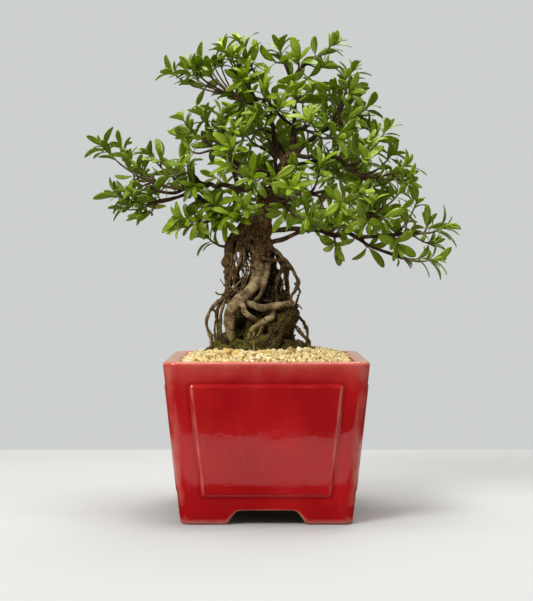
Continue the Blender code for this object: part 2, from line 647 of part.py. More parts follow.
def blade(leaf, swell=0.0, whole=True):
    """Points and faces of one arched leaf with a keel, thicker all round by swell, whole or its outer part."""
    base, along, up, length, width = leaf
    side = along.cross(up).normalized()
    up = side.cross(along).normalized()
    points = [base if whole else base + along * length * LEAF_STATIONS[0][0] * 0.8]
    for t, wide in LEAF_STATIONS:
        middle = base + along * length * t + up * length * LEAF_ARCH * math.sin(math.pi * t)
        half = width * wide / 2 + swell
        keel = LEAF_KEEL * wide + swell
        points += [middle + side * half + up * swell, middle - side * half + up * swell, middle - up * keel]
    tip = len(points)
    points.append(base + along * (length + swell))
    faces = []
    for k in range(3):
        m = (k + 1) % 3
        faces += [(0, 1 + m, 1 + k), (1 + k, 1 + m, 4 + m, 4 + k), (4 + k, 4 + m, tip)]
    return points, faces


class Crowd:
    """What already stands in the crown, to keep new growth clear of it."""

    def __init__(self):
        self.members = []

    def add(self, owner, shape):
        """Add a shape that belongs to a node."""
        points, faces = shape
        self.members.append((owner, box_of(points), BVHTree.FromPolygons(points, faces)))

    def is_free(self, shape, owner=None):
        """Whether a shape touches nothing that belongs to another node than owner."""
        points, faces = shape
        low, high = box_of(points)
        tree = None
        for other, (other_low, other_high), other_tree in self.members:
            if other == owner:
                continue
            if any(high[k] < other_low[k] or low[k] > other_high[k] for k in range(3)):
                continue
            tree = tree or BVHTree.FromPolygons(points, faces)
            if tree.overlap(other_tree):
                return False
        return True


def box_of(points):
    """Lowest and highest corner of some points."""
    return [min(p[k] for p in points) for k in range(3)], [max(p[k] for p in points) for k in range(3)]


def whorl(stem, count, rng):
    """Leaves round the end of a shoot, the first one outwards, each a turn on from the last and less open."""
    leaves = []
    tall = length_of(stem)
    tip, along = at_length(stem, tall)
    outward = Vector((tip.x, tip.y, 0))
    side = (outward - along * outward.dot(along)).normalized()
    start = math.radians(rng.uniform(-25, 25))
    for k in range(count):
        round_turn = Matrix.Rotation(start + TURN * k, 3, along)
        open_angle = math.radians(rng.uniform(68, 82) - 9 * k)
        out = round_turn @ side
        heading = (along * math.cos(open_angle) + out * math.sin(open_angle)).normalized()
        heading = (heading + UP * 0.12).normalized()
        face = (along * math.sin(open_angle) - out * math.cos(open_angle)).normalized()
        length = LEAF_LENGTH * rng.uniform(0.82, 1.22)
        base, _ = at_length(stem, tall - min(WHORL_DEPTH, 0.4 * tall) * (1 - k / count))
        leaves.append((base, heading, face, length, length * LEAF_SLENDER * rng.uniform(0.9, 1.12)))
    return leaves


def fitted(leaf, axis, owner, crowd, own):
    """The leaf, turned or shortened until it is clear of everything else, or None."""
    base, heading, face, length, width = leaf
    for turn, share in ((0, 1), (18, 1), (-18, 1), (32, 0.92), (-32, 0.92), (48, 0.85), (-48, 0.85), (0, 0.7)):
        rotation = Matrix.Rotation(math.radians(turn), 3, axis)
        trial = (base, rotation @ heading, rotation @ face, length * share, width * share)
        if not crowd.is_free(blade(trial, LEAF_CLEAR), owner):
            continue
        if own.is_free(blade(trial, 0, False)):
            return trial
    return None


def grow_wood():
    """Paths and radii of the trunk, the roots and the limbs, by name."""
    wood = {}
    for name, rows, sides in (("trunk", TRUNK, 9), ("mat", MAT, 12)):
        wood[name] = ([seen(x, y, z) for x, y, z, _ in rows], [radius * MM for *_, radius in rows], sides)
    for name, (first, last, points) in ROOTS.items():
        path = smooth_path([seen(*point) for point in points], ROOT_STEP)
        wood[name] = (path, tapered(path, first * MM, last * MM), 6 if first > 4 else 5)
    for name, (first, last, points) in LIMBS.items():
        path = smooth_path([seen(*point) for point in points], LIMB_STEP)
        wood[name] = (path, tapered(path, first * MM, last * MM), 6 if first > 2.5 else 5)
    return wood


def grow_sprays(wood):
    """Woody twigs for the tree, and for each spray its green stems and its leaves."""
    crowd = Crowd()
    for path, radii, sides in wood.values():
        crowd.add("tree", tube(path, radii, sides))
    twigs, sprays = [], []
    for region, rows in SPRAYS.items():
        for number, (limb, *tips) in enumerate(rows, 1):
            name = f"spray_{region}_{number}"
            path, radii, _ = wood[limb]
            shoot = shoot_path(path, seen(*tips[0]))
            whole = length_of(shoot)
            cut = max(WOODY_SHARE * whole, radii[-1] + WOODY_LEAST)
            twig = part_of(shoot, 0, cut, 2)
            twigs.append((twig, tapered(twig, STEM_RADIUS * TWIG_FOOT, STEM_RADIUS), STEM_SIDES))
            stem = part_of(shoot, cut + GAP, whole, 2)
            stems = [(stem, tapered(stem, STEM_RADIUS, STEM_TIP_RADIUS), STEM_SIDES)]
            for tip in tips[1:]:
                side = even(shoot_path(stem, seen(*tip)), 2)
                stems.append((side, tapered(side, STEM_RADIUS * 0.85, STEM_TIP_RADIUS), STEM_SIDES))
            sprays.append((name, stems))
    for path, radii, sides in twigs:
        crowd.add("tree", tube(path, radii, sides))
    for name, stems in sprays:
        for path, radii, sides in stems:
            shape = tube(path, radii, sides)
            if not crowd.is_free(shape, name):
                print("stem crosses another node:", name)
            crowd.add(name, shape)
    grown = []
    for name, stems in sprays:
        rng = random.Random(f"{SEED} {name}")
        own, leaves = Crowd(), []
        for order, (stem, *_) in enumerate(stems):
            axis = (stem[-1] - stem[-2]).normalized()
            for leaf in whorl(stem, LEAVES_AT_SIDE if order else LEAVES_AT_TIP, rng):
                clear = fitted(leaf, axis, name, crowd, own)
                if clear:
                    crowd.add(name, blade(clear))
                    own.add("blade", blade(clear, 0, False))
                    leaves.append(clear)
        grown.append((name, stems, leaves))
    return twigs, grown


def make_tree(wood, twigs, material):
    """One body of wood: root ball, roots, trunk, limbs and twigs."""
    tree = add_object("tree", *loft(ball_rings(0)), material)
    parts = [add_object("wood", *tube(*piece)) for piece in [*wood.values(), *twigs]]
    return combine(tree, parts, "UNION", "MANIFOLD")


def make_spray(name, stems, leaves, material):
    """One leafy shoot as one body: stems and blades."""
    first, *rest = [add_object("stem", *tube(*stem)) for stem in stems]
    rest += [add_object("leaf", *blade(leaf)) for leaf in leaves]
    combine(first, rest, "UNION", "MANIFOLD")
    first.name = name
    first.data.name = name
    first.data.materials.clear()
    first.data.materials.append(material)
    return first


def main():
    """Build the pot, what fills it and the tree."""
    clear_scene()
    make_pot(finish("red_glaze", (0.42, 0.02, 0.02), 0.12))
    make_drain_mesh(finish("black_plastic", (0.03, 0.03, 0.03), 0.5))
    make_soil(finish("pumice", (0.83, 0.64, 0.26), 0.9))
    wood = grow_wood()
    twigs, sprays = grow_sprays(wood)
    make_tree(wood, twigs, finish("bark", (0.17, 0.11, 0.07), 0.8))
    leaf_green = finish("leaf_green", (0.1, 0.28, 0.02), 0.35)
    for name, stems, leaves in sprays:
        make_spray(name, stems, leaves, leaf_green)


main()
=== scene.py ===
"""Satsuki azalea bonsai with exposed roots, growing in a square red glazed pot.

Metres, +Z up. The origin is on the ground under the middle of the pot, and the front faces -Y.
"""

import logging
import math
import random
from collections.abc import Iterator
from dataclasses import dataclass, field
from enum import Enum

import bmesh
import bpy
import numpy as np
from mathutils import Matrix, Vector, noise
from mathutils.bvhtree import BVHTree
from mathutils.kdtree import KDTree


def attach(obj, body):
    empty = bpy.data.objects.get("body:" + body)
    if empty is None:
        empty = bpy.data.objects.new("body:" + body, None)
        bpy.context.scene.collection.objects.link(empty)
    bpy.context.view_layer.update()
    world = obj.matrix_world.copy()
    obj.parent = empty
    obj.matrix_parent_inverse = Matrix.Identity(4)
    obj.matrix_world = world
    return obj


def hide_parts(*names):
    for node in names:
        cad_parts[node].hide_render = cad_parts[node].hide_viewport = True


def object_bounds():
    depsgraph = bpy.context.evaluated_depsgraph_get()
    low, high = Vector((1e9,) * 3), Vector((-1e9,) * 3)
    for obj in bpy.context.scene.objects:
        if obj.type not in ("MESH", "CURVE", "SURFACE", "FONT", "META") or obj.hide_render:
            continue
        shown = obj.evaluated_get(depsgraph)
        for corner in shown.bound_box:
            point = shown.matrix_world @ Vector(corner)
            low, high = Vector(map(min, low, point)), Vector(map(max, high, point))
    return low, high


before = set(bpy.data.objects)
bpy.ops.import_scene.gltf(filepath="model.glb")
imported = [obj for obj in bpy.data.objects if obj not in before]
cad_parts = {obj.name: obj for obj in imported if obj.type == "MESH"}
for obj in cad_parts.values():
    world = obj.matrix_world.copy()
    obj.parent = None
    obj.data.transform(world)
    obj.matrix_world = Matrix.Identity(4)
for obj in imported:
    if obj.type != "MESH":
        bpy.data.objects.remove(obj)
CAD_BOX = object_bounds()

LOG = logging.getLogger("azalea")
Object = bpy.types.Object
Material = bpy.types.Material
Socket = bpy.types.NodeSocket
Pair = tuple[float, float]
Point = tuple[float, float, float]
Colour = tuple[float, float, float]
Path = list[Vector]
Shape = tuple[list[Vector], list[tuple[int, ...]]]
Stem = tuple[Path, list[float], int]
Leaf = tuple[Vector, Vector, Vector, float, float]
Toned = list[tuple[Leaf, float]]
Rings = tuple[np.ndarray, list[np.ndarray], dict[str, np.ndarray], list[tuple]]

MM = 0.001
UP = Vector((0, 0, 1))
SEED = 11
GAP = 0.3 * MM
TURN = math.radians(137.5)

# Routes of roots and limbs are read in the front view, in the plane of the trunk, from this eye, in mm
EYE_DISTANCE = 1450
EYE_HEIGHT = 244

# Trunk: (x, y, z, radius) in mm, from its main root in the root ball to the fork at the top
TRUNK = (
    (-33, -23, 156, 2.6), (-35.5, -26, 175, 3.1), (-37.5, -27, 184, 4.4), (-38, -26, 193, 5.6),
    (-37, -26, 203, 6.1), (-31.5, -26, 213, 5.9), (-22, -24, 221, 5.7), (-13, -19, 230.5, 5.8),
    (-9, -14, 240, 6.4), (-8, -8, 256, 8), (-6, -3, 272, 9.4), (-4.5, 0, 291, 10), (-4, 0, 307, 9.4),
    (0.7, 0, 317, 8), (4.9, 0, 325, 6), (7, 0, 333, 4.9), (11, 0, 343, 4.7), (21.6, 0, 360, 5),
    (26.8, 0, 370.5, 4.4), (27.8, 0, 389, 2.6), (28.9, 0, 417, 2.1), (27.8, 0, 431, 1.9), (23.5, 0, 444, 1.6),
)

# Matted fine roots in the middle of the tangle: (x, y, z, radius) in mm
MAT = (
    (-2, 0, 160, 32), (-2, 0, 184, 25.5), (0, 1, 207, 19), (3, 3, 229, 11), (2, 4, 250, 5.5), (-3, 0, 275, 5),
)

# Banks of muck and moss round the foot of the core: rows of (x, y, z, radius) in mm
BANKS = (
    ((-58, -10, 160, 6), (-46, -22, 163, 8), (-24, -32, 164, 10), (2, -35, 164, 10), (26, -30, 164, 10),
     (40, -18, 162, 7), (46, -6, 160, 5)),
    ((-56, -6, 160, 6), (-40, 18, 162, 9), (-10, 32, 163, 10), (22, 28, 163, 10), (42, 8, 161, 7)),
    ((-52, -14, 165, 7), (-42, -17, 173, 9), (-30, -18, 180, 7)),
    ((-24, -33, 168, 9), (-8, -36, 173, 9), (8, -35, 171, 10)),
    ((10, -24, 184, 14), (20, -20, 197, 12), (24, -14, 208, 8)),
    ((7, 8, 253, 3.5), (9, 8, 242, 4.5), (11, 6, 229, 6.5), (15, 4, 212, 10)),
    ((-20, 5, 239, 4), (-24, 4, 228, 8), (-26, 2, 214, 10), (-25, 0, 196, 12)),
)

# Roots: first radius, last radius, then (x, y, z), all in mm
ROOTS = {
    "front_inner": (2.9, 2.4, ((1, -4, 270), (1.8, -13, 253), (0.7, -18, 242), (-3.4, -20, 229),
        (-7.6, -22, 219), (-17, -22, 212))),
    "wrapping": (2.4, 2.2, ((-19, -5, 276), (-14, -12, 266), (-5.5, -17, 260), (5, -16, 256.5),
        (13, -12, 257), (21, -8, 255))),
    "right_long": (3.3, 1.5, ((-1, -1, 276), (5, -4, 269), (13, -6, 262), (21.6, -8, 253), (27, -10, 246),
        (30, -10, 240), (33, -10, 234), (29, -12, 225), (25, -14, 219), (26, -12, 208))),
    "right_side": (1.4, 1.2, ((31, -10, 238), (32, -8, 229.5), (34, -6, 224), (31, -6, 215), (27, -8, 205))),
    "right_inner": (2.3, 2, ((18, -6, 257), (21.6, -2, 246), (20.5, 2, 238), (21.6, 4, 227), (20, 4, 208))),
    "right_hidden": (2.2, 2, ((15, -6, 258), (17, -7, 250), (13.5, -7, 243), (9, -8, 230), (12, -10, 208))),
    "level": (3.3, 3.7, ((-24, -20, 214), (-14.5, -28, 211), (-5.5, -31, 208), (8, -31, 209.6),
        (20, -28, 211.6), (27, -24, 212.5))),
    "small_arch": (3.1, 2.9, ((-29, -25, 217), (-24, -31, 210), (-22, -33, 203), (-15.5, -31, 198),
        (-10, -19, 194))),
    "low_front": (4.1, 1.6, ((9, -12, 210), (7, -26, 204), (5, -33, 198), (-3.4, -36, 194), (-10, -37, 190),
        (-16, -38, 184), (-18, -38, 178), (-18, -36, 156))),
    "low_right_thin": (1.6, 1.4, ((26, -18, 212), (28, -14, 204), (35, -12, 197), (40, -10, 189),
        (42, -10, 182), (40, -10, 156))),
    "low_right_thick": (2.5, 1.9, ((10, -10, 204), (24, -20, 194), (33, -24, 185), (39, -22, 178),
        (44, -18, 172), (41, -17, 156))),
    "low_left": (2.1, 1.7, ((-35, -10, 227), (-42, -12, 219), (-50, -14, 214), (-57.6, -16, 205),
        (-61, -16, 196), (-61, -16, 188), (-57, -16, 179), (-54, -16, 156))),
    "low_left_side": (1.4, 1.3, ((-56, -16, 208), (-53, -13, 204), (-50, -10, 198), (-53, -8, 189),
        (-51, -8, 156))),
    "low_left_inner": (1.7, 1.6, ((-42, -12, 217), (-45, -15, 207), (-47, -17, 196), (-46, -17, 156))),
    "shoulder": (9.5, 4, ((-7, 0, 302), (-18, -2, 294), (-28, -4, 284), (-37, -5, 275))),
    "shoulder_inner": (9, 4, ((-5, 0, 293), (-14, -2, 284), (-21, -4, 276))),
    "left_shoulder": (4.4, 2.2, ((-26, -4, 288), (-33, -6, 283), (-38.5, -6, 272), (-39.3, -6, 255),
        (-39.3, -6, 237), (-39, -8, 219), (-37, -12, 206), (-35, -14, 156))),
    "left_curtain": (1.5, 1.3, ((-24, -6, 289), (-29.5, -11, 275), (-31.6, -13, 260), (-34, -12, 242),
        (-31, -13, 226), (-24, -18, 213))),
    "left_thin": (1.7, 1.5, ((-17, -6, 284), (-20, -9, 271), (-24, -8, 262), (-28, -7, 250), (-28.5, -6, 239),
        (-22, -8, 227), (-12, -8, 210))),
    "left_behind": (2.6, 2.2, ((-16, 4, 288), (-29, 13, 276), (-36, 18, 258), (-32, 20, 238), (-31, 20, 217),
        (-27, 18, 190), (-26, 18, 156))),
    "back_main": (4.8, 3.8, ((-3, 2, 278), (2, 13, 256), (8, 23, 236), (17, 29, 216), (17, 33, 196),
        (23, 33, 156))),
    "back_left": (3.6, 3, ((-10, 4, 284), (-12, 15, 258), (-10, 23, 237), (-23, 29, 216), (-31, 31, 195),
        (-27, 32, 156))),
    "back_right": (2.2, 2, ((6, 4, 270), (13, 12, 256), (19.5, 16, 244), (21.5, 21, 228), (24, 24, 206),
        (25, 25, 190), (30, 24, 156))),
    "back_low_left": (2.3, 2, ((-31, 12, 240), (-43, 16, 221), (-51, 19, 203), (-49, 19, 187),
        (-50, 20, 156))),
    "back_middle": (2.7, 2.3, ((2, 12, 258), (-4, 24, 234), (4, 33, 214), (-6, 37, 200), (-2, 39, 184),
        (-8, 38, 156))),
}

# Thinner roots grown together in bundles, written as the roots are
STRANDS = (
    (2.2, 1.1, ((-34.8, -7, 279), (-35.8, -9, 268), (-35.2, -9, 255), (-36, -9, 243), (-37.5, -9, 232),
     (-38.5, -12, 218))),
    (2.5, 1.1, ((-27, -8, 280), (-26.4, -11, 270), (-26.2, -12, 260), (-28.5, -12, 252), (-33, -12, 243))),
    (2, 0.9, ((-23.5, -7, 279), (-22.8, -8, 270), (-21.2, -8, 261), (-25, -9, 254), (-28.8, -10, 246),
     (-32, -12, 236))),
    (2.2, 1, ((-19.5, -6, 279), (-18, -7, 268), (-14.5, -8, 260), (-13, -9, 250), (-14, -9, 240))),
    (1.8, 1, ((-31, 4, 279), (-35, 5, 264), (-34, 6, 250), (-28, 7, 238), (-22, 6, 228))),
    (2, 1.3, ((-25, 8, 280), (-25, 11, 264), (-27, 12, 254), (-31, 11, 244), (-29, 8, 230))),
    (1.8, 1.2, ((-15, 8, 280), (-11, 12, 262), (-11, 12, 250), (-12, 11, 238), (-13, 8, 228))),
    (1, 0.8, ((-37.5, -8, 251), (-31, -12, 241), (-24, -12, 235), (-18, -10, 228))),
    (2.6, 1.6, ((-38, -6, 263), (-43, -7, 258), (-45, -8, 254), (-43.5, -8, 250.5))),
    (2.2, 2, ((6, 4, 262), (9, 6, 250), (8, 6, 238), (9, 5, 222))),
)

# Fine roots in the front of the tangle, written as the roots are
ROOTLETS = (
    (1, 0.6, ((-51.8, -14, 223.6), (-48.3, -14, 221.5), (-43.2, -12, 222.3), (-36, -9, 224))),
    (0.6, 0.4, ((-47.5, -8, 237), (-44.9, -9, 233.6), (-43.2, -8, 230.1), (-38, -7, 228))),
    (0.7, 0.5, ((-38, -6, 249), (-42.3, -8, 247.4), (-44, -8, 243.9), (-41.4, -8, 241.3), (-37, -6, 240))),
    (1.1, 0.8, ((-37, -12, 225), (-33.7, -20, 227.5), (-28.5, -21, 233.6), (-23.3, -19, 237.9),
     (-16, -12, 242.5))),
    (1, 0.8, ((-14, -10, 258), (-17.2, -18, 255.2), (-13.8, -20, 249.1), (-12.5, -20, 242.2),
     (-13.8, -20, 234.4))),
    (0.9, 0.7, ((-38, -11, 230), (-36.2, -17, 229.2), (-30.2, -21, 224.9), (-25, -22, 224))),
    (0.8, 0.6, ((-36, -14, 221), (-34.5, -18, 222.3), (-28.5, -22, 228.4), (-20.7, -20, 230.1))),
    (1.2, 0.7, ((29, -9, 233), (32, -10, 229.2), (34.2, -10, 225.8), (34.6, -9, 223.2), (31.6, -8, 220.2))),
    (1, 0.6, ((27, -18, 212), (30.7, -19, 212), (33.7, -19, 209.8), (36.3, -19, 206.8))),
    (1.5, 1, ((-3, -36, 192), (-5.1, -38, 188.6), (-6.9, -38, 182.6), (-11.2, -39, 177.4),
     (-16.4, -38, 175.7))),
    (1.5, 0.9, ((-13, -38, 182), (-13.2, -43, 173.5), (-12.8, -49, 166.5), (-12.1, -55, 158.5))),
    (1.2, 0.7, ((-15.5, -38, 177), (-17.5, -41, 170), (-19, -42, 160))),
)

# Limbs, written as the roots are
LIMBS = {
    "left_upper": (3.1, 1.9, ((0, 0, 321), (-15, 2, 327), (-27, 4, 329.5), (-44, 6, 333.6), (-51.4, 8, 331.6),
        (-58.7, 10, 334.7), (-66, 12, 328.4), (-74.3, 14, 329.5), (-83, 18, 332.6), (-92, 22, 339))),
    "left_lower": (3, 2, ((-12, -1, 294), (-26, -4, 298), (-41, -8, 302.4), (-51.4, -6, 307.6), (-61, 0, 315),
        (-70, 8, 321), (-77.4, 14, 326.4), (-81, 17, 331))),
    "left_arm_low": (1.9, 1.6, ((-78, 13, 326), (-88, 16, 322), (-100, 24, 318), (-114, 34, 315))),
    "left_arm_high": (1.9, 1.6, ((-82, 17, 331), (-93, 16, 325.5), (-106.6, 14, 326.4), (-117.5, 16, 330.5))),
    "left_stump": (2.7, 2.3, ((-31.6, 5, 318), (-30.5, 5, 336), (-34.7, 6, 350))),
    "left_riser": (1.9, 1.6, ((-60, 10, 333), (-71, 4, 338), (-78.5, -2, 344))),
    "left_hanger": (1.9, 1.6, ((-50, -6, 307), (-56.6, -14, 298), (-68, -20, 294))),
    "left_middle": (2.9, 1.7, ((8, 0, 333), (-4.5, -8, 346), (-19, -16, 349), (-35.7, -22, 358.7),
        (-50, -27, 368.5), (-62, -31, 377.5))),
    "left_middle_fork": (1.8, 1.6, ((-34, -21, 357), (-43.6, -18, 373), (-51, -16, 384.5))),
    "top_left": (2.5, 1.7, ((18, 0, 356), (9, 4, 372), (6, 8, 396), (-4.5, 6, 409), (-15, 2, 428),
        (-22, 0, 439))),
    "top_left_arm": (1.8, 1.6, ((-8, 5, 415), (-25, 8, 419), (-43, 13, 428.5))),
    "top_left_back": (1.9, 1.6, ((6, 8, 394), (3, 14, 419), (-4.5, 16, 441))),
    "inner": (1.9, 1.6, ((12, -1, 346), (9, -8, 356), (7, -9, 370), (2, -10, 380))),
    "inner_top": (1.8, 1.6, ((27.5, 0, 393), (15, -6, 403), (6, -12, 413))),
    "top": (1.8, 1.6, ((25, 0, 440), (20, -1, 455))),
    "top_right": (1.9, 1.6, ((25, 0, 439), (35.6, -4, 453.5), (47, -6, 460.5))),
    "right_upper": (3, 1.7, ((23, 0, 361), (30, -2, 364), (36, -4, 372), (53, -10, 385.7), (67.4, -14, 397),
        (73, -14, 404), (78, -12, 415))),
    "right_upper_back": (1.8, 1.6, ((53, -9, 385.7), (70, 8, 394), (84, 18, 402))),
    "right_middle": (2.5, 1.6, ((25, 0, 366), (40, -6, 362), (56, -14, 364), (74.7, -22, 360),
        (82, -26, 351.5), (91.4, -28, 345), (102, -28, 340), (114.8, -26, 345))),
    "right_riser": (1.8, 1.6, ((82, -26, 352), (97.6, -18, 358.7), (107, -16, 368))),
    "right_low": (2.9, 1.6, ((-3, 0, 286), (16.4, -10, 287.8), (28, -12, 288.8), (40, -14, 287.8),
        (52, -14, 287.8), (61, -16, 284.7), (70.5, -18, 281.5), (82, -20, 284.7), (92.4, -22, 280.5),
        (102, -24, 280.5), (119.5, -26, 281.5), (139, -28, 283.6), (155, -31, 285))),
    "right_low_root": (2.8, 2.2, ((-1, -2, 273), (8, -7, 276), (17, -10, 278), (28, -12, 283),
        (38, -14, 287.5))),
    "right_low_fork": (1.9, 1.6, ((70, -18, 282), (85, -26, 290), (98.7, -32, 298), (112, -35, 309))),
    "right_whip": (1.7, 1.5, ((90, -21, 281), (106, -26, 271), (121.6, -32, 265), (139, -38, 258.6))),
    "right_low_back": (2.1, 1.6, ((52, -14, 287.5), (66, 6, 294), (84, 24, 300), (100, 34, 303))),
    "front_right": (2.4, 1.6, ((6, 0, 330), (24, -18, 326), (42, -36, 324), (58, -52, 327))),
    "front_low": (2.2, 1.6, ((3, -2, 320), (13, -26, 316), (25, -50, 312))),
    "front_left": (2.2, 1.6, ((8, -1, 339), (2, -28, 345), (-8, -58, 349))),
    "front_top": (1.9, 1.6, ((27.5, -1, 386), (34, -22, 391), (43, -42, 394))),
    "back_top": (2.1, 1.6, ((21, 2, 359), (15, 22, 372), (6, 40, 382))),
    "back_right": (2.3, 1.6, ((22, 2, 353), (40, 26, 356), (56, 46, 361))),
    "back_left": (2.3, 1.6, ((6, 2, 331), (-2, 24, 330), (-18, 46, 332))),
    "back_low": (2.3, 1.6, ((3, 2, 321), (22, 26, 318), (42, 48, 314))),
    "back_high": (1.7, 1.5, ((28.5, 0, 412), (30, 14, 420), (33, 28, 424))),
}

# Sprays by part of the crown: the limb each one grows from, then the middles of its whorls in mm
SPRAYS = {
    "left_arm": (("left_arm_high", (-170, 52, 377), (-134, 30, 345)), ("left_arm_low", (-157, 46, 325),
        (-131, 38, 311)), ("left_upper", (-122, 18, 369), (-107.6, 8, 364)), ("left_riser", (-81.6, -10, 361),
        (-106, -8, 345)), ("left_upper", (-97, 46, 352))),
    "left_low": (("left_hanger", (-90, -36, 301), (-72, -26, 303)), ("left_shoulder", (-64, -18, 284)),
        ("left_lower", (-55, -22, 318)), ("left_lower", (-23, -36, 313))),
    "left_middle": (("left_middle", (-88, -46, 405), (-84, -34, 390)), ("left_middle_fork", (-64, -14, 407),
        (-45, -4, 411)), ("left_middle", (-82, -48, 371)), ("inner", (-24, -32, 389)), ("left_middle",
        (-36, -50, 375)), ("top_left", (-50, 34, 392)), ("front_left", (-17, -107, 344), (-42, -86, 357))),
    "top_left": (("top_left_arm", (-79.5, 22, 457), (-66, 30, 434)), ("top_left", (-38, -6, 470),
        (-28, -18, 443)), ("top_left_back", (-26, 14, 482), (-13, 4, 464)), ("inner_top", (-4.5, -30, 433)),
        ("top_left_back", (-20, 46, 426))),
    "top": (("top", (12, -2, 477), (4, -10, 463)), ("top_right", (69.5, -8, 481), (49, 4, 471)), ("top_right",
        (33, -18, 466), (47, -34, 441))),
    "right_upper": (("right_upper", (88, -6, 455), (86, -18, 433)), ("right_upper", (89, -34, 406),
        (62, -28, 428)), ("right_upper_back", (106, 28, 417), (72, 46, 416)), ("right_riser",
        (123.7, -12, 394), (110, 6, 385)), ("front_top", (76, -64, 385), (44, -62, 404))),
    "right_middle": (("right_middle", (146, -26, 357), (148, -42, 340)), ("right_middle", (131, -6, 369)),
        ("right_middle", (103, -50, 363)), ("right_low_fork", (139, -42, 330)), ("right_middle",
        (116, -14, 328)), ("front_right", (98.7, -88, 329), (75, -90, 319)), ("front_right", (56, -70, 358)),
        ("right_low_fork", (124.7, -50, 304), (98, -58, 300)), ("right_low_back", (143, 42, 313),
        (122, 14, 292))),
    "right_low": (("right_low", (186, -40, 294), (165, -26, 297)), ("right_whip", (177, -50, 260)),
        ("right_low", (137, -44, 275)), ("right_low", (109, -10, 270)), ("right_low", (73, -32, 271)),
        ("right_low", (78, -46, 300)), ("front_low", (45.5, -95, 303)), ("front_low", (27, -78, 334))),
    "back": (("back_top", (-12, 86, 398), (10, 66, 372)), ("back_right", (86, 99, 376), (60, 76, 350)),
        ("back_left", (-54, 99, 344), (-24, 74, 320)), ("back_low", (84, 99, 318), (46, 76, 298)),
        ("back_high", (42, 62, 424), (20, 32, 436))),
}

# Single further shoots: (x, y, z) of the middles of their whorls, in mm
WHORLS = (
    (-152, 50, 379), (-143, 46, 366), (-133, 40, 353), (-150, 44, 331), (-152, 42, 314), (-140, 40, 319),
    (-150, 36, 308), (-84, 20, 454), (-72, 24, 463), (-60, 24, 451), (-44, 0, 479), (-34, -8, 471),
    (-24, -6, 468), (-50, -20, 303), (-42, -26, 297), (-36, -32, 307), (-58, -14, 295), (-96, -32, 294),
    (177, -42, 279), (163, -46, 262), (83, -10, 447), (87, 0, 429), (94, 6, 411), (107, 8, 395),
    (39, -34, 373), (147, -30, 345), (-150, 48, 372), (-146, 52, 381), (-156, 46, 318), (62, 0, 455),
    (-125, 34, 301), (138, -20, 287), (151, -30, 285), (16, -42, 306), (25, -36, 300), (31, -62, 330),
    (-15, -22, 412), (-45, -32, 398), (-56, 12, 461), (-48, 8, 463), (-99, 22, 452),
)

# Further shoots by mass of leaves: middle x, z, y and half sizes x, z, y in mm, then how many
MASSES = (
    (-60, 455, 18, 30, 10, 20, 2), (-26, 452, 0, 22, 26, 30, 2), (14, 440, 0, 22, 22, 36, 3),
    (62, 430, 0, 22, 24, 40, 4), (84, 392, 0, 36, 26, 55, 8), (24, 400, 0, 34, 22, 60, 6),
    (-22, 392, 0, 28, 24, 60, 6), (-56, 388, 0, 30, 20, 50, 5), (-140, 358, 36, 16, 14, 14, 3),
    (-130, 322, 34, 26, 14, 22, 3), (-92, 338, 14, 22, 18, 40, 4), (-60, 308, 0, 34, 16, 50, 5),
    (-16, 352, -10, 26, 18, 70, 6), (30, 340, -10, 34, 24, 75, 7), (90, 345, 0, 48, 26, 75, 12),
    (122, 312, -5, 40, 20, 60, 7), (76, 294, -10, 46, 12, 60, 5), (20, 372, 64, 90, 56, 36, 12),
)

# Clearings of the crown that light shows through: (x, z, radius) in mm
CLEARINGS = (
    (-47, 440, 13), (-65, 433, 9), (-80, 418, 8), (-92, 404, 7), (-13, 429, 7), (-6.7, 424.7, 5),
    (47, 475, 11), (0, 459, 7), (112, 422, 11), (-101, 320, 8), (123, 260, 5), (111, 268, 5), (8.7, 397, 5),
    (44.5, 383.7, 7), (36.3, 364, 8), (13.5, 356, 6), (172, 322, 9), (-24, 338.7, 5), (-7.5, 340, 6),
    (-38, 317, 9), (-65, 364, 8), (-64, 342, 7), (-53, 342, 7), (-108.6, 309.3, 8), (-146.8, 341, 7),
    (-130, 384, 10), (-94, 370, 13), (-80, 366, 8), (-151, 355, 6), (107, 266, 8), (150, 263, 8),
    (-122, 292, 9), (47, 273, 10), (152, 275, 8), (56.8, 445, 9), (98.8, 386, 5), (58.3, 388, 5),
    (112.3, 352, 6), (124.3, 313, 5), (114, 334, 6), (175.4, 299.4, 4), (-114, 386, 9), (149, 306, 8),
    (109, 275, 7), (90, 262, 6),
)

# Large stones in the front of the soil: (x, y, radius) in mm
BOULDERS = (
    (-46, -60, 5.6), (-37, -55, 6.2), (-29, -60, 6), (-41, -70, 4.8), (-24, -68, 5), (-54, -64, 4.6),
    (-12, -62, 4.6), (2, -58, 4.4), (20, -56, 4.2), (33, -50, 4.6), (-66, -52, 4.4), (-50, -42, 4.8),
    (48, -60, 4.2), (-8, -74, 4.2), (-38, -48, 5.6), (-27, -50, 5.2), (-22, -54, 4.4), (-4, -54, 4.2),
    (7, -52, 4), (15, -50, 4.4), (24, -48, 4.8), (40, -40, 4.2), (-56, -30, 4.4),
)


def seen(x: float, y: float, z: float) -> Vector:
    """Point that looks from the front to be at x, z in the trunk's plane, but lies at depth y.

    Args:
        x: Place across the front view, in mm.
        y: Depth behind the trunk's plane, in mm.
        z: Height in the front view, in mm.

    Returns:
        The point in metres.
    """
    reach = (EYE_DISTANCE + y) / EYE_DISTANCE
    return Vector((x * reach, y, EYE_HEIGHT + (z - EYE_HEIGHT) * reach)) * MM


def held(value: float, low: float = 0.0, high: float = 1.0) -> float:
    """Value kept between two limits."""
    return min(high, max(low, value))


def seeded(name: str) -> random.Random:
    """Random draws that are always the same for a name."""
    return random.Random(f"{SEED} {name}")


def scatter(rng: random.Random, spread: float = 1.0) -> Vector:
    """Vector of seeded normal draws."""
    return Vector([rng.gauss(0, spread) for _ in range(3)])


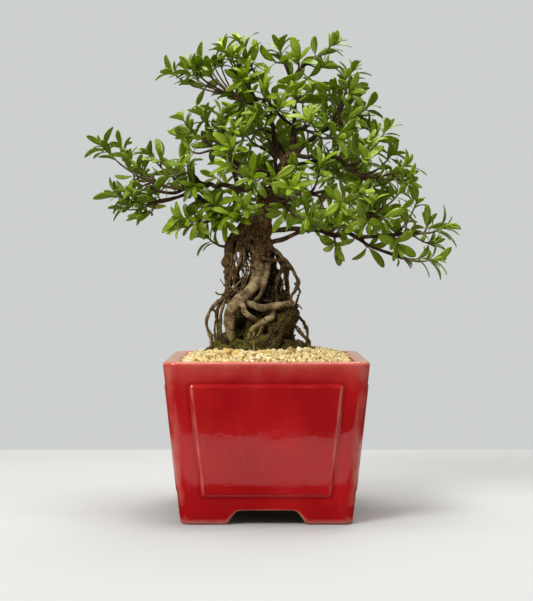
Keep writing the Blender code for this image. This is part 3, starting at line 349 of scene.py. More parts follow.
def uneven(at: Vector, layers: tuple[Pair, ...]) -> float:
    """Unevenness at a place, from layers of noise that each have a strength and a size."""
    return sum(strength * noise.noise(at / size) for strength, size in layers)


def length_of(path: Path) -> float:
    """Length along a row of points."""
    return sum((b - a).length for a, b in zip(path, path[1:]))


def at_length(path: Path, distance: float) -> tuple[Vector, Vector]:
    """Point and direction of a path at a distance from its start.

    Args:
        path: Row of points.
        distance: Distance along it.

    Returns:
        The point and the unit direction there.
    """
    for a, b in zip(path, path[1:]):
        step = (b - a).length
        if distance <= step:
            return a.lerp(b, distance / step), (b - a).normalized()
        distance -= step
    return path[-1].copy(), (path[-1] - path[-2]).normalized()


def part_of(path: Path, begin: float, end: float, parts: int) -> Path:
    """Stretch of a path between two distances from its start, cut in equal parts."""
    return [at_length(path, begin + (end - begin) * i / parts)[0] for i in range(parts + 1)]


def spline(knots: list[Vector] | list[np.ndarray], t: float) -> Vector | np.ndarray:
    """Point at share t between the middle two of four knots of a smooth curve.

    Args:
        knots: The four knots.
        t: The share.

    Returns:
        The point.
    """
    p0, p1, p2, p3 = knots
    return (p1 * 2 + (p2 - p0) * t + (p0 * 2 - p1 * 5 + p2 * 4 - p3) * t * t
            + (p1 * 3 - p0 - p2 * 3 + p3) * t ** 3) / 2


def smooth_path(points: Path, spacing: float, steps: int = 8) -> Path:
    """Points at an even spacing along the smooth curve through the given ones.

    Args:
        points: Points that the curve runs through.
        spacing: Distance between the points of the result.
        steps: Parts that each stretch is first cut in.

    Returns:
        The evenly spaced points.
    """
    padded = [points[0] * 2 - points[1], *points, points[-1] * 2 - points[-2]]
    fine = [spline(padded[k:k + 4], step / steps) for k in range(len(points) - 1) for step in range(steps)]
    fine.append(points[-1].copy())
    whole = length_of(fine)
    return part_of(fine, 0, whole, max(1, round(whole / spacing)))


def flow(rows: tuple[tuple[float, ...], ...], spacing: float) -> tuple[Path, list[float]]:
    """Smooth path and radii through rows of x, y, z and radius.

    Args:
        rows: The rows, in mm in the front view.
        spacing: Distance between points of the result, in metres.

    Returns:
        The points and the radii.
    """
    knots = [np.array([*seen(x, y, z), radius * MM]) for x, y, z, radius in rows]
    padded = [2 * knots[0] - knots[1], *knots, 2 * knots[-1] - knots[-2]]
    found = []
    for k, (here, after) in enumerate(zip(knots, knots[1:])):
        parts = max(1, round(float(np.linalg.norm((after - here)[:3])) / spacing))
        found += [spline(padded[k:k + 4], step / parts) for step in range(parts)]
    found.append(knots[-1])
    return [Vector(row[:3]) for row in found], [float(row[3]) for row in found]


def tapered(path: Path, first: float, last: float) -> list[float]:
    """Radii that run evenly from first to last along a path."""
    return [first + (last - first) * i / (len(path) - 1) for i in range(len(path))]


def frames(path: Path) -> list[tuple[Vector, Vector, Vector]]:
    """Direction and two sides at each point of a path, turning as little as they can.

    Args:
        path: Row of points.

    Returns:
        For each point the unit direction along the path and two unit sides square to it.
    """
    found = []
    side = (path[1] - path[0]).orthogonal().normalized()
    for i in range(len(path)):
        if i == 0:
            along = path[1] - path[0]
        elif i == len(path) - 1:
            along = path[i] - path[i - 1]
        else:
            along = (path[i + 1] - path[i]).normalized() + (path[i] - path[i - 1]).normalized()
        along.normalize()
        side = (side - along * side.dot(along)).normalized()
        found.append((along, side, along.cross(side)))
    return found


def tube(path: Path, radii: list[float], sides: int) -> Shape:
    """Plain round bar along a path.

    Args:
        path: Row of points.
        radii: Radius at each point.
        sides: Number of its sides.

    Returns:
        Its points and faces.
    """
    angles = [math.tau * k / sides for k in range(sides)]
    points = [
        point + (side * math.cos(a) + other * math.sin(a)) * radius
        for point, radius, (_, side, other) in zip(path, radii, frames(path)) for a in angles]
    faces = [tuple(range(sides))[::-1], tuple(range(len(points) - sides, len(points)))]
    for row in range(0, len(points) - sides, sides):
        for i in range(sides):
            j = (i + 1) % sides
            faces.append((row + i, row + j, row + sides + j, row + sides + i))
    return points, faces


def quads(index: np.ndarray, closed: tuple[int, int] = (0, 0)) -> np.ndarray:
    """Four-cornered faces between neighbours in a grid of point numbers.

    Args:
        index: The grid.
        closed: 1 where the grid closes on itself, by rows and by columns.

    Returns:
        The faces, one a row.
    """
    index = np.pad(index, ((0, closed[0]), (0, closed[1])), mode="wrap")
    return np.stack([index[:-1, :-1], index[:-1, 1:], index[1:, 1:], index[1:, :-1]], axis=-1).reshape(-1, 4)


def box_of(points: Path) -> tuple[list[float], list[float]]:
    """Lowest and highest corner of some points."""
    return [min(p[k] for p in points) for k in range(3)], [max(p[k] for p in points) for k in range(3)]


def turned(leaf: Leaf, axis: Vector, tries: tuple[Pair, ...]) -> Iterator[Leaf]:
    """The leaf turned round its shoot and shortened, one try after another.

    Args:
        leaf: The leaf as it would grow.
        axis: Direction of its shoot.
        tries: Turns in degrees, each with a share of the full size.

    Yields:
        The leaf at each try.
    """
    base, heading, face, length, width = leaf
    for turn, share in tries:
        rotation = Matrix.Rotation(math.radians(turn), 3, axis)
        yield base, rotation @ heading, rotation @ face, length * share, width * share


class Crowd:
    """What already stands in the crown, kept by cells of space, so that new growth stays clear of it."""

    CELL = 25 * MM

    def __init__(self) -> None:
        """Start with nothing."""
        self.cells: dict[tuple[int, ...], list[int]] = {}
        self.members: list[tuple] = []

    def reach(self, low: list[float], high: list[float]) -> list[tuple[int, ...]]:
        """Cells that a box touches."""
        spans = [range(math.floor(low[k] / self.CELL), math.floor(high[k] / self.CELL) + 1) for k in range(3)]
        return [(i, j, k) for i in spans[0] for j in spans[1] for k in spans[2]]

    def add(self, owner: str, shape: Shape) -> None:
        """Add a shape that belongs to a piece.

        Args:
            owner: Name of the piece.
            shape: Its points and faces.
        """
        low, high = box_of(shape[0])
        for cell in self.reach(low, high):
            self.cells.setdefault(cell, []).append(len(self.members))
        self.members.append((owner, low, high, BVHTree.FromPolygons(*shape)))

    def is_free(self, shape: Shape, owner: str | None = None) -> bool:
        """Whether a shape touches nothing that belongs to another piece than owner.

        Args:
            shape: Points and faces.
            owner: Piece whose own shapes may be touched.

        Returns:
            True when the shape is clear.
        """
        low, high = box_of(shape[0])
        near = {index for cell in self.reach(low, high) for index in self.cells.get(cell, ())}
        tree = None
        for index in near:
            other, other_low, other_high, other_tree = self.members[index]
            if other == owner or any(high[k] < other_low[k] or low[k] > other_high[k] for k in range(3)):
                continue
            tree = tree or BVHTree.FromPolygons(*shape)
            if tree.overlap(other_tree):
                return False
        return True


@dataclass(frozen=True)
class Whorl:
    """How leaves stand round the end of a shoot: angles in degrees, sizes as shares."""

    opening: Pair
    closing: float
    lift: float
    lengths: Pair
    widths: Pair
    least: float = 12
    young_from: int = 4
    young_drop: float = 0.45


@dataclass
class Growth:
    """Rules by which shoots and leaves grow, the same ones as the solids follow."""

    leaf_length: float = 23 * MM
    slender: float = 0.33
    keel: float = 1.3 * MM
    stations: tuple[Pair, ...] = ((0.36, 0.8), (0.7, 1.0))
    arch: float = 0.1
    clear: float = 0.4 * MM
    at_tip: int = 4
    at_side: int = 3
    stem_radius: float = 1.2 * MM
    stem_tip: float = 0.9 * MM
    side_stem: float = 0.85
    twig_foot: float = 1.25
    woody_share: float = 0.45
    woody_least: float = 5 * MM
    bend: float = 0.35
    reach: float = 7 * MM
    depth: float = 4.5 * MM
    first: Whorl = Whorl((68, 82), 9, 0.12, (0.82, 1.22), (0.9, 1.12))
    tries: tuple[Pair, ...] = (
        (0, 1), (18, 1), (-18, 1), (32, 0.92), (-32, 0.92), (48, 0.85), (-48, 0.85), (0, 0.7))

    def fork_start(self, path: Path, tip: Vector) -> tuple[Vector, Vector]:
        """Place where a shoot leaves a path.

        Args:
            path: Limb or stem that carries the shoot.
            tip: End of the shoot.

        Returns:
            The place and the path's direction there.
        """
        whole = length_of(path)
        samples = [whole * i / 40 for i in range(41)]
        nearest = min(samples, key=lambda s: (at_length(path, s)[0] - tip).length)
        apart = (at_length(path, nearest)[0] - tip).length
        return at_length(path, held(nearest - 0.6 * apart, 0.15 * whole, 0.97 * whole))

    def shoot_path(self, path: Path, middle: Vector) -> Path:
        """Curve of a shoot that leaves along its limb and turns up to the light.

        Args:
            path: Limb or stem that it leaves.
            middle: Middle of the whorl of leaves at its end.

        Returns:
            Points of the curve.
        """
        start, heading = self.fork_start(path, middle)
        toward = (middle - start).normalized()
        tip = middle - (toward + UP * 0.5).normalized() * self.reach
        span = (tip - start).length
        leave = start + (heading + toward).normalized() * span * self.bend
        arrive = tip - (toward * 2 + UP).normalized() * span * self.bend
        curve = []
        for i in range(13):
            t = i / 12
            a, b, c = start.lerp(leave, t), leave.lerp(arrive, t), arrive.lerp(tip, t)
            curve.append(a.lerp(b, t).lerp(b.lerp(c, t), t))
        return curve

    def blade(self, leaf: Leaf, swell: float = 0.0, whole: bool = True) -> Shape:
        """Plain form of one leaf, thicker all round by swell, whole or its outer part.

        Args:
            leaf: Base, heading, face, length and width.
            swell: Extra thickness all round.
            whole: False for the part away from the stem alone.

        Returns:
            Points and faces.
        """
        base, along, up, length, width = leaf
        side = along.cross(up).normalized()
        up = side.cross(along).normalized()
        points = [base if whole else base + along * length * self.stations[0][0] * 0.8]
        for t, wide in self.stations:
            middle = base + along * length * t + up * length * self.arch * math.sin(math.pi * t)
            half = width * wide / 2 + swell
            keel = self.keel * wide + swell
            out, lift = side * half, up * swell
            points += [middle + out + lift, middle - out + lift, middle - up * keel]
        tip = len(points)
        points.append(base + along * (length + swell))
        faces = []
        for k in range(3):
            m = (k + 1) % 3
            faces += [(0, 1 + m, 1 + k), (1 + k, 1 + m, 4 + m, 4 + k), (4 + k, 4 + m, tip)]
        return points, faces

    def leaves_round(self, stem: Path, numbers: range, whorl: Whorl, start: float, size: float,
                     rng: random.Random) -> Iterator[tuple[int, Leaf]]:
        """Leaves round the end of a shoot, each a turn on and less open than the one before.

        Args:
            stem: Path of the shoot.
            numbers: Numbers of the leaves in the whorl.
            whorl: How they stand.
            start: Angle of the first from the side away from the trunk.
            size: Share of the full length.
            rng: Seeded draws.

        Yields:
            The number of each leaf, and the leaf.
        """
        tall = length_of(stem)
        tip, along = at_length(stem, tall)
        outward = Vector((tip.x, tip.y, 0))
        side = (outward - along * outward.dot(along)).normalized()
        for k in numbers:
            out = Matrix.Rotation(start + TURN * k, 3, along) @ side
            angle = math.radians(max(whorl.least, rng.uniform(*whorl.opening) - whorl.closing * k))
            heading = (along * math.cos(angle) + out * math.sin(angle)).normalized()
            if whorl.lift:
                heading = (heading + UP * whorl.lift).normalized()
            face = (along * math.sin(angle) - out * math.cos(angle)).normalized()
            young = max(0.0, (k - whorl.young_from) / max(1, numbers.stop - whorl.young_from))
            length = self.leaf_length * size * rng.uniform(*whorl.lengths) * (1 - whorl.young_drop * young)
            base, _ = at_length(stem, tall - min(self.depth, 0.4 * tall) * (1 - k / numbers.stop))
            yield k, (base, heading, face, length, length * self.slender * rng.uniform(*whorl.widths))

    def fitted(self, leaf: Leaf, axis: Vector, owner: str, crowd: Crowd, own: Crowd) -> Leaf | None:
        """The leaf, turned or shortened until it is clear of everything else.

        Args:
            leaf: The leaf as it would grow.
            axis: Direction of its shoot.
            owner: Piece that it belongs to.
            crowd: What other pieces hold.
            own: Leaves of its own piece.

        Returns:
            The leaf as it fits, or None.
        """
        for trial in turned(leaf, axis, self.tries):
            others_clear = crowd.is_free(self.blade(trial, self.clear), owner)
            if others_clear and own.is_free(self.blade(trial, 0, False)):
                return trial
        return None


def link(name: str, data: bpy.types.ID) -> Object:
    """New object in the scene that shows some data.

    Args:
        name: Its name.
        data: Mesh, lamp or camera that it shows.

    Returns:
        The object.
    """
    item = bpy.data.objects.new(name, data)
    bpy.context.scene.collection.objects.link(item)
    return item


def note_marks(mesh: bpy.types.Mesh, marks: dict[str, np.ndarray]) -> None:
    """Keep values by name on a mesh, one a point, for its finish to read."""
    for name, values in marks.items():
        mesh.attributes.new(name, "FLOAT", "POINT").data.foreach_set("value", values)


class Sheaf:
    """Meshes of one piece, gathered before they become one object."""

    def __init__(self) -> None:
        """Start with nothing."""
        self.points: list[np.ndarray] = []
        self.faces: list[list[int]] = []
        self.coats: list[int] = []
        self.marks: dict[str, list[np.ndarray]] = {}
        self.count = 0

    def cover(self, faces: list[np.ndarray], coat: int, start: int) -> None:
        """Add faces between points that are there already.

        Args:
            faces: Arrays of faces, each array with faces of one size.
            coat: Number of the finish among those of the piece.
            start: Number of the point that the faces count from.
        """
        for block in faces:
            self.faces.extend((np.asarray(block) + start).tolist())
            self.coats.extend([coat] * len(block))

    def add(self, points: np.ndarray, faces: list[np.ndarray], coat: int = 0,
            **marks: np.ndarray | float) -> None:
        """Add points and faces.

        Args:
            points: Array of points, one a row.
            faces: Arrays of faces, each array with faces of one size.
            coat: Number of the finish among those of the piece.
            marks: Values for the finish to read, one a point, or one for all.
        """
        size = len(points)
        for name, value in marks.items():
            row = np.full(size, value, dtype=float) if np.isscalar(value) else np.asarray(value, dtype=float)
            missing = self.count - sum(map(len, self.marks.get(name, [])))
            self.marks.setdefault(name, []).extend([np.zeros(missing), row] if missing else [row])
        self.cover(faces, coat, self.count)
        self.points.append(np.asarray(points, dtype=float))
        self.count += size

    def build(self, name: str, finishes: list[Material], sharp: float | None = None) -> Object:
        """Make the object.

        Args:
            name: Name of the piece.
            finishes: Its finishes, in the order of the coats.
            sharp: Angle in degrees above which an edge stays sharp, or None.

        Returns:
            The object.
        """
        mesh = bpy.data.meshes.new(name)
        mesh.from_pydata(np.concatenate(self.points).tolist(), [], self.faces)
        for finish in finishes:
            mesh.materials.append(finish)
        mesh.polygons.foreach_set("material_index", self.coats)
        mesh.shade_smooth()
        if sharp is not None:
            mesh.set_sharp_from_angle(angle=math.radians(sharp))
        rows = {mark: np.concatenate(parts) for mark, parts in self.marks.items()}
        note_marks(mesh, {mark: np.pad(row, (0, self.count - len(row))) for mark, row in rows.items()})
        return link(name, mesh)


def settle(item: Object, slot: str, *nodes: str) -> Object:
    """Let a piece ride on the part, and hide the nodes that it stands for.

    Args:
        item: The piece.
        slot: The record's material slot; not used.
        nodes: Nodes that the piece replaces.

    Returns:
        The piece.
    """
    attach(item, "root")
    if nodes:
        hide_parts(*nodes)
    LOG.info("%s: %d faces", item.name, len(item.data.polygons))
    return item


class Graph:
    """Shading nodes of one finish or of the sky, made and linked by name."""

    def __init__(self, owner: Material | bpy.types.World) -> None:
        """Start with the nodes that a new finish or sky has."""
        owner.use_nodes = True
        self.owner = owner
        self.tree = owner.node_tree

    def feed(self, socket: Socket, value: object) -> None:
        """Link another socket to an input, or set its value.

        Args:
            socket: The input.
            value: The other socket, or the value.
        """
        if isinstance(value, Socket):
            self.tree.links.new(value, socket)
        else:
            socket.default_value = value

    def put(self, node: bpy.types.Node, **inputs: object) -> bpy.types.Node:
        """Feed inputs of a node.

        Args:
            node: The node.
            inputs: Values or sockets by the input's name, with _ for spaces, or by i and its number.

        Returns:
            The node.
        """
        for key, value in inputs.items():
            number = key[1:]
            self.feed(node.inputs[int(number) if number.isdigit() else key.replace("_", " ")], value)
        return node

    def node(self, kind: str, settings: dict[str, object] | None = None, **inputs: object) -> bpy.types.Node:
        """Add a node.

        Args:
            kind: Its type without the leading ShaderNode.
            settings: Values of its own properties.
            inputs: Values or sockets for its inputs.

        Returns:
            The node.
        """
        node = self.tree.nodes.new(f"ShaderNode{kind}")
        for key, value in (settings or {}).items():
            setattr(node, key, value)
        return self.put(node, **inputs)

    def stretched(self, vector: Socket, scale: Point) -> Socket:
        """Vector scaled along its axes."""
        return self.node("Mapping", i0=vector, i3=scale).outputs[0]

    def place(self, stretch: Point = (1, 1, 1)) -> Socket:
        """Place on the object in metres, stretched along its axes."""
        return self.stretched(self.node("TexCoord").outputs["Object"], stretch)

    def spot(self, space: str = "Object") -> list[Socket]:
        """The three co-ordinates of a place."""
        return list(self.node("SeparateXYZ", i0=self.node("TexCoord").outputs[space]).outputs)

    def mark(self, name: str) -> Socket:
        """Value that the mesh carries under a name."""
        return self.node("Attribute", {"attribute_name": name}).outputs["Fac"]

    def grain(self) -> Socket:
        """Place across and along the grain of the wood."""
        x, y, s = (self.mark(f"fibre_{axis}") for axis in "xys")
        return self.node("CombineXYZ", i0=x, i1=y, i2=s).outputs[0]

    def noise(self, at: Socket, size: float, detail: float = 3, rough: float = 0.55) -> Socket:
        """Noise at a place.

        Args:
            at: The place.
            size: About the size of its patches, in metres.
            detail: Number of its finer layers.
            rough: Strength of the finer layers.

        Returns:
            The noise.
        """
        return self.node("TexNoise", Vector=at, Scale=1 / size, Detail=detail, Roughness=rough).outputs["Fac"]

    def sum(self, operation: str, *values: object) -> Socket:
        """Result of one sum."""
        inputs = {f"i{k}": value for k, value in enumerate(values)}
        return self.node("Math", {"operation": operation}, **inputs).outputs[0]

    def times(self, *values: object) -> Socket:
        """Product of two values."""
        return self.sum("MULTIPLY", *values)

    def plus(self, *values: object) -> Socket:
        """Sum of two values."""
        return self.sum("ADD", *values)

    def span(self, value: Socket, low: float, high: float, to: Pair = (0, 1)) -> Socket:
        """Value spread smoothly from one span to another, and held at its ends.

        Args:
            value: The value.
            low: Start of its span.
            high: End of its span.
            to: The new span.

        Returns:
            The spread value.
        """
        settings = {"interpolation_type": "SMOOTHSTEP"}
        return self.node("MapRange", settings, i0=value, i1=low, i2=high, i3=to[0], i4=to[1]).outputs[0]

    def swing(self, value: Socket, low: float, high: float | None = None) -> Socket:
        """Noise made to swing between two values, or to either side of nought by one."""
        return self.span(value, 0.3, 0.7, (-low, low) if high is None else (low, high))

    def mix(self, share: object, first: Socket | Colour, second: Socket | Colour) -> Socket:
        """Colour between two others.

        Args:
            share: Share of the second.
            first: The first colour.
            second: The second colour.

        Returns:
            The mixed colour.
        """
        node = self.node("Mix", {"data_type": "RGBA"}, i0=share)
        for socket, value in ((node.inputs[6], first), (node.inputs[7], second)):
            self.feed(socket, value if isinstance(value, Socket) else (*value, 1))
        return node.outputs[2]

    def ramp(self, value: Socket, stops: tuple[tuple[float, Colour], ...]) -> Socket:
        """Colour read off a row of stops.

        Args:
            value: Place along the row.
            stops: The stops, each a place and a colour.

        Returns:
            The colour.
        """
        node = self.node("ValToRGB", i0=value)
        elements = node.color_ramp.elements
        while len(elements) < len(stops):
            elements.new(0.5)
        for element, (place, colour) in zip(elements, stops):
            element.position = place
            element.color = (*colour, 1)
        return node.outputs[0]

    def bump(self, *layers: tuple[Socket, float, float]) -> Socket:
        """Normal from layers of relief.

        Args:
            layers: Each a height, its depth in metres and its strength.

        Returns:
            The normal.
        """
        below = {}
        for height, depth, strength in layers:
            node = self.node("Bump", Height=height, Distance=depth, Strength=strength, **below)
            below = {"Normal": node.outputs[0]}
        return below["Normal"]

    def dress(self, colour: Socket, rough: Socket | float, normal: Socket | None = None,
              shine: float = 0.5) -> Material:
        """Give the finish its looks.

        Args:
            colour: Its colour.
            rough: Its roughness.
            normal: Its relief, or None.
            shine: How strongly it mirrors.

        Returns:
            The finish.
        """
        inputs = {"Normal": normal} if normal else {}
        shader = self.tree.nodes["Principled BSDF"]
        self.put(shader, Base_Color=colour, Roughness=rough, Specular_IOR_Level=shine, **inputs)
        return self.owner


class Finish:
    """What all finishes share."""

    @staticmethod
    def start(name: str) -> tuple[Graph, Socket]:
        """Graph of a new finish, and the place on the object."""
        graph = Graph(bpy.data.materials.new(name))
        return graph, graph.place()


@dataclass(frozen=True)
class RedGlaze(Finish):
    """Deep red glaze that runs thin and pale over edges, with painted highlight on upright edges, painted
    reflection paling its top, and bare clay under the feet.
    """

    deep: Colour = (0.375, 0.004, 0.006)
    red: Colour = (0.49, 0.007, 0.009)
    run: Colour = (0.46, 0.03, 0.025)
    upper: Colour = (0.58, 0.085, 0.070)
    thin: Colour = (0.62, 0.17, 0.12)
    groove_dark: Colour = (0.17, 0.001, 0.002)
    chalk: Colour = (0.70, 0.42, 0.38)
    clay: Colour = (0.42, 0.26, 0.16)
    painted_sheen_from: Pair = (132 * MM, 163 * MM)
    roughness: Pair = (0.05, 0.09)

    def material(self) -> Material:
        """The finish as a material."""
        g, at = self.start("red_glaze")
        cloud = g.noise(at, 60 * MM)
        runs = g.noise(g.place((1, 1, 0.16)), 9 * MM)
        body = g.mix(g.span(cloud, 0.35, 0.70), self.deep, self.red)
        body = g.mix(g.span(runs, 0.5, 0.8, (0, 0.35)), body, self.run)
        # Painted reflection: the glaze pales towards the rim.
        height = g.plus(g.spot()[2], g.swing(cloud, 5 * MM))
        body = g.mix(g.span(height, *self.painted_sheen_from, (0, 0.6)), body, self.upper)
        # The edge mark pales the glaze where it runs thin over edges, and also carries painted highlight on
        # upright crests and corners and painted reflection on the rim.
        edge = g.mark("edge")
        soft = g.plus(edge, g.swing(g.noise(at, 18 * MM, 2), 0.12))
        body = g.mix(g.span(soft, 0.12, 1.0, (0, 0.8)), body, self.thin)
        # Darker in a band round the foot of the raised panel.
        body = g.mix(g.span(edge, -0.1, -0.8, (0, 0.65)), body, self.groove_dark)
        specks = g.span(g.noise(at, 1.1 * MM, 2), 0.6, 0.75)
        specks = g.times(specks, g.span(g.noise(at, 34 * MM, 2), 0.58, 0.72))
        body = g.mix(g.times(specks, 0.3), body, self.chalk)
        bare = g.span(g.mark("bare"), 0.4, 0.6)
        wavy = g.bump((g.noise(at, 24 * MM), 0.8 * MM, 0.34), (g.noise(at, 7 * MM, 2), 0.04 * MM, 0.35))
        rough = g.plus(g.times(bare, 0.7), g.swing(cloud, *self.roughness))
        return g.dress(g.mix(bare, body, self.clay), rough, wavy)


@dataclass(frozen=True)
class BlackNet(Finish):
    """Black moulded plastic of the net over the drain hole."""

    black: Colour = (0.02, 0.02, 0.02)
    worn: Colour = (0.045, 0.043, 0.04)

    def material(self) -> Material:
        """The finish as a material."""
        g, at = self.start("black_plastic")
        colour = g.mix(g.noise(at, 4 * MM), self.black, self.worn)
        relief = g.bump((g.noise(at, 0.5 * MM), 0.05 * MM, 0.4))
        return g.dress(colour, g.swing(g.noise(at, 2 * MM), 0.42, 0.6), relief)


@dataclass(frozen=True)
class Pumice(Finish):
    """Pale yellow pumice, dry and full of pores."""

    tones: tuple[tuple[float, Colour], ...] = (
        (0, (0.40, 0.24, 0.08)), (0.28, (0.70, 0.49, 0.16)), (0.6, (0.84, 0.68, 0.33)),
        (1, (0.98, 0.92, 0.68)))
    pore_shade: Colour = (0.40, 0.24, 0.09)

    def material(self) -> Material:
        """The finish as a material."""
        g, at = self.start("pumice")
        colour = g.ramp(g.plus(g.mark("tone"), g.swing(g.noise(at, 2.5 * MM), 0.22)), self.tones)
        pores = g.node("TexVoronoi", Vector=at, Scale=1 / (0.9 * MM)).outputs["Distance"]
        # Painted shade: the pores darken where the relief sinks.
        colour = g.mix(g.span(pores, 0.35, 0.05, (0, 0.4)), colour, self.pore_shade)
        normal = g.bump((pores, 0.35 * MM, 0.7), (g.noise(at, 0.5 * MM), 0.15 * MM, 0.5))
        return g.dress(colour, 0.93, normal, 0.25)


@dataclass(frozen=True)
class Bark(Finish):
    """Brown bark above, smoother and paler skin on the roots, and dark moss-grown muck low down, with painted
    shade in its hollows and wrinkle grooves.
    """

    dark: Colour = (0.022, 0.011, 0.003)
    brown: Colour = (0.205, 0.110, 0.036)
    flake: Colour = (0.42, 0.275, 0.130)
    tan: Colour = (0.120, 0.074, 0.027)
    pale: Colour = (0.390, 0.295, 0.160)
    wrinkle_shade: Colour = (0.055, 0.031, 0.011)
    worn: Colour = (0.48, 0.39, 0.23)
    muck: Colour = (0.016, 0.009, 0.003)
    loam: Colour = (0.115, 0.074, 0.022)
    cavity_shade: Colour = (0.005, 0.003, 0.001)
    moss: Colour = (0.085, 0.075, 0.010)
    young_moss: Colour = (0.19, 0.17, 0.025)

    def material(self) -> Material:
        """The finish as a material."""
        g, at = self.start("bark")
        grain = g.grain()
        fissure = g.noise(g.stretched(grain, (1, 1, 0.5)), 1.7 * MM, 4, 0.6)
        wrinkle = g.noise(g.stretched(grain, (0.35, 0.35, 1)), 2.2 * MM, 3, 0.6)
        patch, fine = g.noise(at, 11 * MM), g.noise(at, 1.3 * MM)
        bark = g.mix(g.span(fissure, 0.36, 0.62), self.dark, self.brown)
        flakes = g.times(g.span(patch, 0.42, 0.7), g.span(fine, 0.45, 0.62))
        bark = g.mix(g.times(flakes, 0.75), bark, self.flake)
        bark = g.mix(g.span(g.noise(at, 3.4 * MM), 0.52, 0.40, (0, 0.75)), bark, self.dark)
        skin = g.mix(g.span(patch, 0.35, 0.62), self.tan, self.pale)
        # Painted shade: the root skin darkens in the grooves of its wrinkles.
        skin = g.mix(g.span(wrinkle, 0.50, 0.38, (0, 0.75)), skin, self.wrinkle_shade)
        skin = g.mix(g.span(fine, 0.55, 0.8, (0, 0.4)), skin, self.worn)
        wood = g.mix(g.mark("bark"), skin, bark)
        wood = g.mix(g.mark("muck"), wood, g.mix(g.span(fine, 0.42, 0.66), self.muck, self.loam))
        # Painted shade: the wood darkens where few short rays leave the surface.
        wood = g.mix(g.span(g.mark("open"), 0.72, 0.32, (0, 0.97)), wood, self.cavity_shade)
        x, _, z = g.spot()
        low = g.times(g.span(z, 218 * MM, 166 * MM), g.span(x, -10 * MM, 15 * MM, (1, 0.3)))
        growth = g.times(low, g.span(g.noise(at, 7 * MM), 0.44, 0.60))
        green = g.mix(g.span(fine, 0.45, 0.72), self.moss, self.young_moss)
        colour = g.mix(g.times(growth, g.mark("mossy")), wood, green)
        normal = g.bump((fissure, 0.9 * MM, 0.7), (wrinkle, 0.5 * MM, 0.5), (fine, 0.3 * MM, 0.5))
        return g.dress(colour, 0.78, normal, 0.18)


@dataclass(frozen=True)
class TwigBark(Finish):
    """Dark red-brown bark of limbs and twigs, greyer where it is older."""

    old: Colour = (0.045, 0.024, 0.011)
    young: Colour = (0.075, 0.036, 0.012)
    crack: Colour = (0.03, 0.016, 0.008)
    grey: Colour = (0.19, 0.125, 0.060)

    def material(self) -> Material:
        """The finish as a material."""
        g, at = self.start("twig_bark")
        grain = g.grain()
        along = g.noise(g.stretched(grain, (1, 1, 0.15)), 0.9 * MM)
        ring = g.noise(g.stretched(grain, (0.2, 0.2, 1)), 1.5 * MM, 2)
        colour = g.mix(g.mark("young"), self.old, self.young)
        colour = g.mix(g.span(along, 0.5, 0.35, (0, 0.6)), colour, self.crack)
        colour = g.mix(g.span(g.noise(at, 8 * MM), 0.5, 0.7, (0, 0.6)), colour, self.grey)
        return g.dress(colour, 0.72, g.bump((along, 0.35 * MM, 0.6), (ring, 0.25 * MM, 0.5)), 0.2)


@dataclass(frozen=True)
class FineRoot(Finish):
    """Dry fine roots, from dark brown to straw, darker towards the matted core as painted shade."""

    dark: Colour = (0.012, 0.007, 0.003)
    straw: Colour = (0.21, 0.145, 0.065)
    moss: Colour = (0.15, 0.13, 0.022)

    def material(self) -> Material:
        """The finish as a material."""
        g, at = self.start("fine_root")
        tone = g.plus(g.mark("tone"), g.swing(g.noise(at, 5 * MM), 0.3))
        # The tone mark holds painted shade near the core, plus a random tone.
        colour = g.mix(g.span(tone, 0.15, 0.95), self.dark, self.straw)
        mossy = g.times(g.span(g.spot()[2], 200 * MM, 164 * MM), g.span(g.noise(at, 6 * MM), 0.42, 0.6))
        colour = g.mix(g.times(mossy, 0.8), colour, self.moss)
        return g.dress(colour, 0.85, g.bump((g.noise(at, 0.8 * MM), 0.2 * MM, 0.6)), 0.15)


@dataclass(frozen=True)
class MossGreen(Finish):
    """Dry cushion moss, from brown to dull yellow-green."""

    tones: tuple[tuple[float, Colour], ...] = (
        (0, (0.014, 0.008, 0.002)), (0.3, (0.065, 0.046, 0.004)), (0.6, (0.24, 0.20, 0.010)),
        (1, (0.48, 0.43, 0.035)))
    root: Colour = (0.03, 0.018, 0.006)

    def material(self) -> Material:
        """The finish as a material."""
        g, at = self.start("moss")
        colour = g.ramp(g.plus(g.mark("tone"), g.swing(g.noise(at, 6 * MM), 0.3)), self.tones)
        colour = g.mix(g.span(g.mark("along"), 0.0, 1.0, (0.45, 0)), colour, self.root)
        return g.dress(colour, 0.9, shine=0.08)


class LeafSide(Enum):
    """The two faces of a leaf."""

    TOP = "leaf_top"
    UNDER = "leaf_under"


